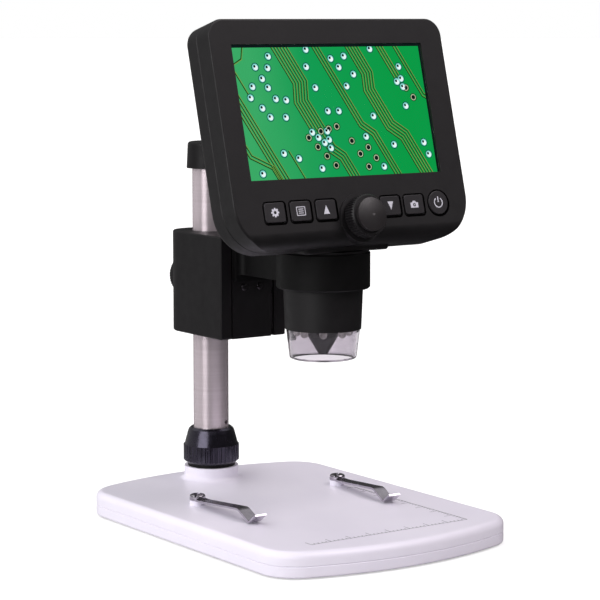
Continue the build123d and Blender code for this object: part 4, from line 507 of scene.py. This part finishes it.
def menu_sign(marks, size):
    """Three bars in a frame, the common sign for a menu."""
    half_x = size * 0.50
    half_y = size * 0.42
    stroke = size * 0.08
    for side in (-1, 1):
        marks.box((-half_x, side * half_y - stroke / 2), (half_x, side * half_y + stroke / 2))
        marks.box((side * half_x - stroke / 2, -half_y - stroke / 2),
                  (side * half_x + stroke / 2, half_y + stroke / 2))
    for row in (-1, 0, 1):
        level = row * size * 0.2
        marks.box((-size * 0.30, level - stroke / 2), (size * 0.30, level + stroke / 2))


def arrow(size):
    """The corners of a triangle that points up."""
    half = size * 0.4
    tip = size * 0.5
    return [Vector((-half, -tip)), Vector((half, -tip)), Vector((0, tip))]


def up_sign(marks, size):
    """A filled triangle that points up."""
    marks.plate(arrow(size))


def down_sign(marks, size):
    """A filled triangle that points down."""
    marks.plate([-corner for corner in arrow(size)])


def camera_sign(marks, size):
    """A camera body with a hump and a round lens."""
    half = size * 0.52
    body = [Vector((-half, -size * 0.38)), Vector((half, -size * 0.38)), Vector((half, size * 0.2)),
            Vector((size * 0.26, size * 0.22)), Vector((size * 0.16, size * 0.40)),
            Vector((-size * 0.16, size * 0.40)), Vector((-size * 0.26, size * 0.22)),
            Vector((-half, size * 0.2))]
    lens = Vector((0, -size * 0.06))
    marks.plate(body)
    marks.disc(lens, size * 0.19, SIGN_DARK, high=1.5 * PRINT)
    marks.disc(lens, size * 0.07, SIGN_WHITE, high=2 * PRINT)


def power_sign(marks, size):
    """A broken ring with a stroke in its gap."""
    gap = math.radians(34)
    start = math.pi / 2 + gap
    stop = math.pi / 2 + math.tau - gap
    inner, outer = [circle(Vector((0, 0)), size * share, 28, start, stop) for share in (0.40, 0.50)]
    marks.band(inner, outer)
    marks.box((-size * 0.055, size * 0.02), (size * 0.055, size * 0.56))


# Each key: its name, the function that draws its sign and the sign's size.
KEY_SIGNS = (("settings", gear_sign, 3.9 * MM), ("menu", menu_sign, 4.1 * MM),
             ("up", up_sign, 3.6 * MM), ("down", down_sign, 3.6 * MM),
             ("camera", camera_sign, 3.8 * MM), ("power", power_sign, 4.6 * MM))


def print_key_signs(white, dark):
    """The white sign on the front of each key, which moves with its key."""
    for name, draw, size in KEY_SIGNS:
        place, _, _ = face_box(name + "_key")
        marks = Marks(place, FACE_RIGHT, FACE_UP)
        draw(marks, size)
        marks.piece(name + "_sign", name + "_button", "key_plastic", white, dark)


KEY_PROUD = 0.4 * MM         # how far a key stands out of the bezel
KEY_FLANGE = 0.6 * MM        # how far the hidden flange of a key reaches past its cap
# A near-black band round each key is a painted shadow in the gap between the key and the bezel.
KEY_SHADOW_GAP = 0.32 * MM        # the bezel's edge, where the painted shadow starts, lies this far from the cap
KEY_SHADOW_WIDTH = 0.55 * MM
KEY_SHADOW_SHIFT = Vector((0.22, -0.20)) * MM  # the painted shadow's outer edge lies this much right and down, the way the shadow falls
KEY_SHADOW_CORNER = 1.3 * MM


def rounded_box(half_x, half_y, corner, middle):
    """Points round a box with round corners, counter-clockwise."""
    points = []
    for quarter, (side_x, side_y) in enumerate(((1, 1), (-1, 1), (-1, -1), (1, -1))):
        centre = Vector((side_x * (half_x - corner), side_y * (half_y - corner))) + middle
        start = quarter * math.pi / 2
        points += circle(centre, corner, 7, start, start + math.pi / 2)
    return points


def paint_key_shadows(black):
    """A painted shadow round each key: a near-black band in the gap to the bezel, wider at the right and
    below, where the shadow falls.
    """
    place, _, _ = face_box("up_key")
    marks = Marks(place - FACE_OUT * KEY_PROUD, FACE_RIGHT, FACE_UP)
    for name, _, _ in KEY_SIGNS:
        spot, width, height = face_box(name + "_key")
        middle = Vector(((spot - place).dot(FACE_RIGHT), (spot - place).dot(FACE_UP)))
        half_x = width / 2 - KEY_FLANGE + KEY_SHADOW_GAP
        half_y = height / 2 - KEY_FLANGE + KEY_SHADOW_GAP
        corner = half_x if name == "power" else KEY_SHADOW_CORNER
        inner = rounded_box(half_x, half_y, corner, middle)
        outer = rounded_box(half_x + KEY_SHADOW_WIDTH, half_y + KEY_SHADOW_WIDTH, corner + KEY_SHADOW_WIDTH,
                            middle + KEY_SHADOW_SHIFT)
        marks.band(inner, outer, closed=True)
    marks.piece("key_gap_shadows", "head", "black_plastic", black)


# ---------------------------------------------------------------- the picture on the display

GLASS_HIDDEN_MM = 1.4        # how much of the glass the bezel covers on each side
SHADOW_TOP_MM = 1.0          # a painted shadow of the bezel's recess, inside the window's top edge
SHADOW_SIDE_MM = 0.5         # and inside its right edge
BORDER_UNDER_MM = 1.0        # how far the picture's ground runs on under the bezel
TRACE_PITCH_MM = 1.36
TRACE_DARK_MM = 0.50
TRACE_LIGHT_MM = 0.30
TRACE_APART = 0.4            # a trace's two lines lie off its middle by this share of the dark one's width
END_STEP_MM = 3.3            # each padded trace of a bundle ends this much before the next
PAD_RADIUS_MM = 1.45
PAD_EDGE_MM = 0.42           # the dark moat round a pad, and the coloured rim inside its edge
PAD_HOLE_MM = 0.56
PAD_HOLE_SHIFT_MM = 0.34     # how far the hole lies left and up of the pad's middle
PAD_SHINE_SHIFT = 0.6        # the bright middle lies the other way, by this share of that
PAD_CLEAR_MM = 0.7           # a scattered pad keeps this far from the traces
PAD_SPACING_MM = 4.35        # and its middle this far from the next
LAYER = 0.006 * MM           # each tone of the picture lies this much above the one before

# The tones of the picture, in the order of its materials.
GREEN, GAP, MOAT, TRACE, RIM, PAD, DARK, COLLAR = range(8)


def trace_run(start, *legs):
    """A trace's path in millimetres: from start along legs, each a direction in degrees and a length."""
    path = [Vector(start)]
    for turn, length in legs:
        step = Vector((math.cos(math.radians(turn)), math.sin(math.radians(turn))))
        path.append(path[-1] + step * length)
    return path


# Each bundle: the path of its first trace, how many traces it has and whether they end in pads.
BUNDLES = (
    (trace_run((-64, 30), (-62, 90)), 4, False),
    (trace_run((-41, 32), (-104, 10), (-152, 6), (-62, 15)), 1, True),
    (trace_run((-30, 31), (-62, 22), (-96, 8), (-62, 24)), 6, True),
    (trace_run((-9, 30), (-62, 42), (-34, 7), (-62, 40)), 3, False),
    (trace_run((8, 30), (-62, 17), (-92, 7), (-62, 19), (-34, 8), (-62, 30)), 5, False),
    (trace_run((24, 30), (-62, 24)), 3, True),
    (trace_run((33, 30), (-62, 28), (-28, 14)), 2, False),
    (trace_run((-56, 0), (-62, 21), (-26, 11), (-62, 20)), 2, False),
    (trace_run((-9, -13), (-62, 5), (-34, 6), (-62, 30)), 4, False),
    (trace_run((-27, -16), (-62, 30)), 1, False),
)
PAD_COUNT = 44
PAD_SEED = 43

# Each row of drilled holes: where its first is, the step to the next and how many it has.
HOLE_ROWS = (((-16, -11), (3.9, -4.0), 4), ((-9.5, -8.5), (4.2, 0.9), 3), ((5.5, -13), (3.4, -5.6), 3),
             ((38, 9), (3.2, -4.2), 2), ((13.5, -16), (3.3, -4.6), 2))

# A drilled hole from its moat to its bore: radius in millimetres, tone and layer.
HOLE_RINGS = ((1.75, GAP, 4), (1.34, COLLAR, 5), (0.98, DARK, 6))


def layer(number):
    """The heights of a mark on that layer of the picture, where a higher one covers a lower one."""
    return {"low": 0, "high": number * LAYER}


def inside(point, room):
    """Whether the point is in the box that reaches as far as room each way."""
    half_x, half_y = room
    return abs(point.x) < half_x and abs(point.y) < half_y


def clipped(path, room):
    """The part of a path inside the picture, cut at its border, as a list of paths."""
    half_x, half_y = room
    parts, part = [], []
    for start, stop in zip(path, path[1:]):
        step = stop - start
        low, high = 0.0, 1.0
        for place, way, limit in ((start.x, step.x, half_x), (start.y, step.y, half_y)):
            if abs(way) < 1e-9:
                if abs(place) > limit:
                    high = -1.0
                continue
            first, last = sorted(((-limit - place) / way, (limit - place) / way))
            low, high = max(low, first), min(high, last)
        if low >= high:
            continue
        if part and low == 0.0:
            part.append(start + step * high)
        else:
            part = [start + step * low, start + step * high]
            parts.append(part)
    return [one for one in parts if (one[-1] - one[0]).length > TRACE_PITCH_MM]


def distance_to_path(point, path):
    """How far a point lies from the nearest leg of a path."""
    distances = []
    for start, stop in zip(path, path[1:]):
        step = stop - start
        share = max(0.0, min(1.0, (point - start).dot(step) / step.length_squared))
        distances.append((point - start - step * share).length)
    return min(distances)


def pad(marks, spot):
    """A bright solder pad in a dark moat, with a dark hole at its upper left."""
    shift = Vector((-PAD_HOLE_SHIFT_MM, PAD_HOLE_SHIFT_MM)) * MM
    marks.disc(spot, (PAD_RADIUS_MM + PAD_EDGE_MM) * MM, MOAT, **layer(4))
    marks.disc(spot, PAD_RADIUS_MM * MM, RIM, **layer(5))
    marks.disc(spot - shift * PAD_SHINE_SHIFT, (PAD_RADIUS_MM - PAD_EDGE_MM) * MM, PAD, **layer(6))
    marks.disc(spot + shift, PAD_HOLE_MM * MM, DARK, **layer(7))


def hole(marks, spot):
    """A drilled hole with a thin pale collar in a dark moat."""
    for radius, tone, number in HOLE_RINGS:
        marks.disc(spot, radius * MM, tone, **layer(number))


def bundle_paths():
    """The traces of every bundle, whole, and the spots where the padded ones end."""
    paths, ends = [], []
    for first, count, padded in BUNDLES:
        for i in range(count):
            path = offset(first, i * TRACE_PITCH_MM)
            if padded:
                last = path[-1] - path[-2]
                path[-1] = path[-1] - last.normalized() * abs(i - count // 2) * END_STEP_MM
                ends.append(path[-1])
            paths.append(path)
    return paths, ends


def scattered_pads(pads, holes, paths, room):
    """More pads at random, clear of the traces, the holes and each other."""
    draw = random.Random(PAD_SEED)
    while len(pads) < PAD_COUNT:
        spot = Vector((draw.uniform(-room[0], room[0]), draw.uniform(-room[1], room[1])))
        clear = all(distance_to_path(spot, path) > PAD_RADIUS_MM + PAD_CLEAR_MM for path in paths)
        if clear and all((spot - other).length > PAD_SPACING_MM for other in pads + holes):
            pads.append(spot)
    return pads


def show_picture():
    """A made-up stretch of circuit board, shown lit on the display, with a painted shadow of the bezel's
    recess along its top and right edges.
    """
    place, width, height = face_box("screen_window")
    front = face_box("display_panel")[0].dot(FACE_OUT)
    place += FACE_OUT * (front - place.dot(FACE_OUT))
    marks = Marks(place, FACE_RIGHT, FACE_UP)
    room = (width / 2 / MM - GLASS_HIDDEN_MM, height / 2 / MM - GLASS_HIDDEN_MM)
    edge = Vector((room[0] + BORDER_UNDER_MM, room[1] + BORDER_UNDER_MM)) * MM
    marks.box(-edge, edge, GREEN, **layer(1))
    whole, ends = bundle_paths()
    paths = [part for path in whole for part in clipped(path, room)]
    for path in paths:
        scaled = [point * MM for point in path]
        apart = TRACE_DARK_MM * TRACE_APART * MM
        marks.line(offset(scaled, -apart), TRACE_DARK_MM * MM, GAP, **layer(2))
        marks.line(offset(scaled, apart), TRACE_LIGHT_MM * MM, TRACE, **layer(3))
    holes = [Vector(start) + Vector(step) * i for start, step, count in HOLE_ROWS for i in range(count)]
    kept = (room[0] - PAD_RADIUS_MM, room[1] - PAD_RADIUS_MM)
    pads = scattered_pads([end for end in ends if inside(end, kept)], holes, paths, kept)
    for spot in pads:
        pad(marks, spot * MM)
    for spot in holes:
        hole(marks, spot * MM)
    # A dark band inside the window's top and right edges: painted shadow of the bezel's recess.
    top = (room[1] - SHADOW_TOP_MM) * MM
    side = (room[0] - SHADOW_SIDE_MM) * MM
    marks.box((-edge.x, top), edge, DARK, **layer(8))
    marks.box((side, -edge.y), (edge.x, top), DARK, **layer(8))
    marks.piece("screen_picture", "head", "display",
                picture_green(),
                lit("picture_trace_gap", srgb(6, 62, 26), srgb(20, 84, 34)),
                lit("picture_moat", srgb(6, 84, 70), srgb(10, 108, 84)),
                lit("picture_trace", srgb(92, 160, 66), srgb(140, 172, 80)),
                lit("picture_pad_rim", srgb(120, 214, 208), srgb(150, 228, 220)),
                lit("picture_pad", srgb(226, 250, 248), srgb(250, 255, 255), size=8 * MM),
                lit("picture_dark", srgb(6, 18, 18), srgb(12, 28, 28), size=8 * MM),
                lit("picture_collar", srgb(170, 190, 150), srgb(200, 212, 176), size=8 * MM))


# ---------------------------------------------------------------- the rule on the stage

RULE_FRONT_MM = -69.2        # Y of the line across the stage
RULE_SIDE_MM = 40.2          # X of the line along the right side
RULE_HALF_MM = 40            # how far the front line runs to the left of the middle
RULE_LENGTH_MM = 80          # how far the side line runs back
RULE_STEP_MM = 10            # from one long tick to the next
RULE_FINE_MM = 2             # from one tick to the next
LINE_WIDTH_MM = 0.40
TICK_WIDTH_MM = 0.30
TICK_LONG_MM = 4.2
TICK_FINE_MM = 1.4


STAGE_LEAST = 10.5 * MM      # the flat of the stage lies between these two heights
STAGE_MOST = 12.0 * MM


def stage_height():
    """The height of the flat stage, which is the most common height among the cover's upper corners."""
    counts = {}
    for vertex in NODES["base_cover"].data.vertices:
        level = round(vertex.co.z, 5)
        counts[level] = counts.get(level, 0) + 1
    return max((level for level in counts if STAGE_LEAST < level < STAGE_MOST), key=counts.get)


def stroke(marks, start, stop, width_mm):
    """One straight line of the rule, between two points in millimetres."""
    marks.line([Vector(start) * MM, Vector(stop) * MM], width_mm * MM)


def tick_length(distance):
    """How long the tick is that stands this far along a rule."""
    return TICK_LONG_MM if distance % RULE_STEP_MM == 0 else TICK_FINE_MM


def print_rule(grey):
    """Two rules that meet at the stage's front right, with a mark each 2 mm and a long one each 10 mm."""
    marks = Marks(Vector((0, 0, stage_height())), Vector((1, 0, 0)), Vector((0, 1, 0)))
    corner = RULE_SIDE_MM + LINE_WIDTH_MM / 2
    stroke(marks, (-RULE_HALF_MM, RULE_FRONT_MM), (corner, RULE_FRONT_MM), LINE_WIDTH_MM)
    stroke(marks, (RULE_SIDE_MM, RULE_FRONT_MM), (RULE_SIDE_MM, RULE_FRONT_MM + RULE_LENGTH_MM),
           LINE_WIDTH_MM)
    for along in range(0, 2 * RULE_HALF_MM, RULE_FINE_MM):
        x = along - RULE_HALF_MM
        stroke(marks, (x, RULE_FRONT_MM), (x, RULE_FRONT_MM + tick_length(along)), TICK_WIDTH_MM)
    for along in range(RULE_FINE_MM, RULE_LENGTH_MM + 1, RULE_FINE_MM):
        y = RULE_FRONT_MM + along
        stroke(marks, (RULE_SIDE_MM, y), (RULE_SIDE_MM - tick_length(along), y), TICK_WIDTH_MM)
    marks.piece("stage_rule", "stand", "white_plastic", grey)


# ---------------------------------------------------------------- studio

def add_camera():
    """The photo's view, from the front left and a little above."""
    data = bpy.data.cameras.new("camera")
    data.sensor_width = SENSOR_MM
    data.lens = CAMERA_LENS_MM
    data.clip_start = 0.05
    data.clip_end = 50
    camera = bpy.data.objects.new("camera", data)
    bpy.context.scene.collection.objects.link(camera)
    camera.location = CAMERA_AT
    camera.rotation_euler = Euler((math.pi / 2 - CAMERA_DOWN, 0, CAMERA_TURN), "XYZ")
    bpy.context.scene.camera = camera


def toward(turn, rise):
    """The direction that lies turn degrees round from +X and rise degrees up."""
    level = math.cos(math.radians(rise))
    return Vector((level * math.cos(math.radians(turn)), level * math.sin(math.radians(turn)),
                   math.sin(math.radians(rise))))


# Each lamp: its name, strength and colour, how many degrees wide it looks, and the turn and rise to it.
LAMPS = (("key", 1.25, (1.0, 0.99, 1.0), 42, -162, 20),
         ("fill", 1.2, (1.0, 0.92, 0.95), 34, -53, 52))


def add_lamps():
    """A low soft key from the left, and a softer fill high at the front right."""
    for name, strength, colour, width, turn, rise in LAMPS:
        data = bpy.data.lights.new(name, "SUN")
        data.energy = strength
        data.color = colour
        data.angle = math.radians(width)
        lamp = bpy.data.objects.new(name, data)
        bpy.context.scene.collection.objects.link(lamp)
        lamp.rotation_mode = "QUATERNION"
        lamp.rotation_quaternion = (-toward(turn, rise)).to_track_quat("-Z", "Y")


BRIGHT_SIDE = toward(127, 0)  # the room's bright side is behind on the left
OVERHEAD = Vector((0, 0, 1))

# Each pair: how bright the room is away from such a side and toward it.
ROOM_LIGHT = (0.16, 1.5)      # the walls, to what they light
ROOM_MIRRORED = (0.05, 0.34)  # the walls, in a mirror
ROOM_CEILING = (0.0, 0.5)     # what the soft light overhead adds in a mirror
ROOM_THROUGH = (0.05, 1.0)    # the walls, through something clear


def room_level(tree, way, side, levels, start, stop):
    """How bright the room is that way: a soft step between two levels as the way turns toward a side.

    The first level holds up to a cosine of start with that side, and the last from a cosine of stop.
    """
    facing = tree.nodes.new("ShaderNodeVectorMath")
    facing.operation = "DOT_PRODUCT"
    facing.inputs[1].default_value = side
    tree.links.new(way, facing.inputs[0])
    made = tree.nodes.new("ShaderNodeMapRange")
    made.interpolation_type = "SMOOTHSTEP"
    for name, value in zip(("From Min", "From Max", "To Min", "To Max"), (start, stop, *levels)):
        made.inputs[name].default_value = value
    tree.links.new(facing.outputs["Value"], made.inputs["Value"])
    return made.outputs["Result"]


def mirrored_walls(tree, way):
    """How bright the walls are in a mirror."""
    return room_level(tree, way, BRIGHT_SIDE, ROOM_MIRRORED, 0.3, 1.0)


def choose(tree, test, when_true, when_false):
    """One of two numbers or sockets, by a test that is 0 or 1."""
    made = tree.nodes.new("ShaderNodeMix")
    tree.links.new(test, made.inputs["Factor"])
    for name, value in (("A", when_false), ("B", when_true)):
        if isinstance(value, float):
            made.inputs[name].default_value = value
        else:
            tree.links.new(value, made.inputs[name])
    return made.outputs["Result"]


def combine(tree, operation, first, second):
    """A sum, difference or the like of two sockets, kept between 0 and 1."""
    made = tree.nodes.new("ShaderNodeMath")
    made.operation = operation
    made.use_clamp = True
    tree.links.new(first, made.inputs[0])
    tree.links.new(second, made.inputs[1])
    return made.outputs["Value"]


def add_world():
    """A white room: plain white where it is looked at, and dim toward the front right in what it lights."""
    world = bpy.data.worlds.new("white_room")
    bpy.context.scene.world = world
    world.use_nodes = True
    tree = world.node_tree
    ground = tree.nodes["Background"]
    ground.inputs["Color"].default_value = WHITE
    path = tree.nodes.new("ShaderNodeLightPath")
    way = tree.nodes.new("ShaderNodeTexCoord").outputs["Generated"]
    ceiling = room_level(tree, way, OVERHEAD, ROOM_CEILING, 0.4, 0.8)
    mirrored = combine(tree, "ADD", mirrored_walls(tree, way), ceiling)
    level = room_level(tree, way, BRIGHT_SIDE, ROOM_LIGHT, -1.0, 1.0)
    level = choose(tree, path.outputs["Is Glossy Ray"], mirrored, level)
    through = room_level(tree, way, BRIGHT_SIDE, ROOM_THROUGH, -0.3, 0.2)
    level = choose(tree, path.outputs["Is Transmission Ray"], through, level)
    level = choose(tree, path.outputs["Is Camera Ray"], 1.0, level)
    tree.links.new(level, ground.inputs["Strength"])


FLOOR_RADIUS = 20            # in metres, so that its edge is out of sight
FLOOR_TONE = (0.6, 0.6, 0.6, 1.0)
FLOOR_LIFT = 0.52            # the glow that brings the lit floor up to white, and leaves its shadow


def add_floor():
    """A wide pale floor that shows white, takes the object's shadow and is as dim as the room in a mirror."""
    mesh = bmesh.new()
    bmesh.ops.create_circle(mesh, cap_ends=True, segments=96, radius=FLOOR_RADIUS)
    data = bpy.data.meshes.new("floor")
    mesh.to_mesh(data)
    mesh.free()
    floor = bpy.data.objects.new("floor", data)
    bpy.context.scene.collection.objects.link(floor)
    finish = Finish("floor_paper", FLOOR_TONE, 0.9, gloss=0.0, glow_colour=WHITE)
    path = finish.add("ShaderNodeLightPath")
    way = finish.add("ShaderNodeVectorMath", operation="NORMALIZE")
    finish.link(finish.place, way.inputs[0])
    # A ray that goes on through something clear counts as glossy too, but it has to see the lit floor.
    through = path.outputs["Is Transmission Ray"]
    glossy = combine(finish.tree, "SUBTRACT", path.outputs["Is Glossy Ray"], through)
    seen = combine(finish.tree, "MAXIMUM", path.outputs["Is Camera Ray"], through)
    finish.feed("Base Color", finish.mixed(glossy, FLOOR_TONE, BLACK))
    mirrored = mirrored_walls(finish.tree, way.outputs["Vector"])
    glow = choose(finish.tree, seen, FLOOR_LIFT, 0.0)
    finish.feed("Emission Strength", choose(finish.tree, glossy, mirrored, glow))
    data.materials.append(finish.made)


def dress_nodes():
    """Gives each CAD node the finish of the material slot it came with, or one of its own."""
    finishes = make_finishes()
    own = make_own_finishes()
    for name, node in NODES.items():
        for place in node.material_slots:
            place.material = own.get(name, finishes[place.material.name.split(".")[0]])


dress_nodes()
print_key_signs(ink("sign_white", srgb(214, 212, 222), srgb(196, 194, 205)), bpy.data.materials["key_black"])
# The keys' painted shadows are a near-black matt ink.
paint_key_shadows(ink("key_shadow_black", srgb(2, 2, 2), srgb(4, 4, 4), 0.9, 0.0))
show_picture()
print_rule(ink("rule_grey", srgb(88, 84, 96), srgb(108, 104, 116)))
add_camera()
add_lamps()
add_world()
add_floor()

scene = bpy.context.scene
scene.view_settings.view_transform = "Standard"
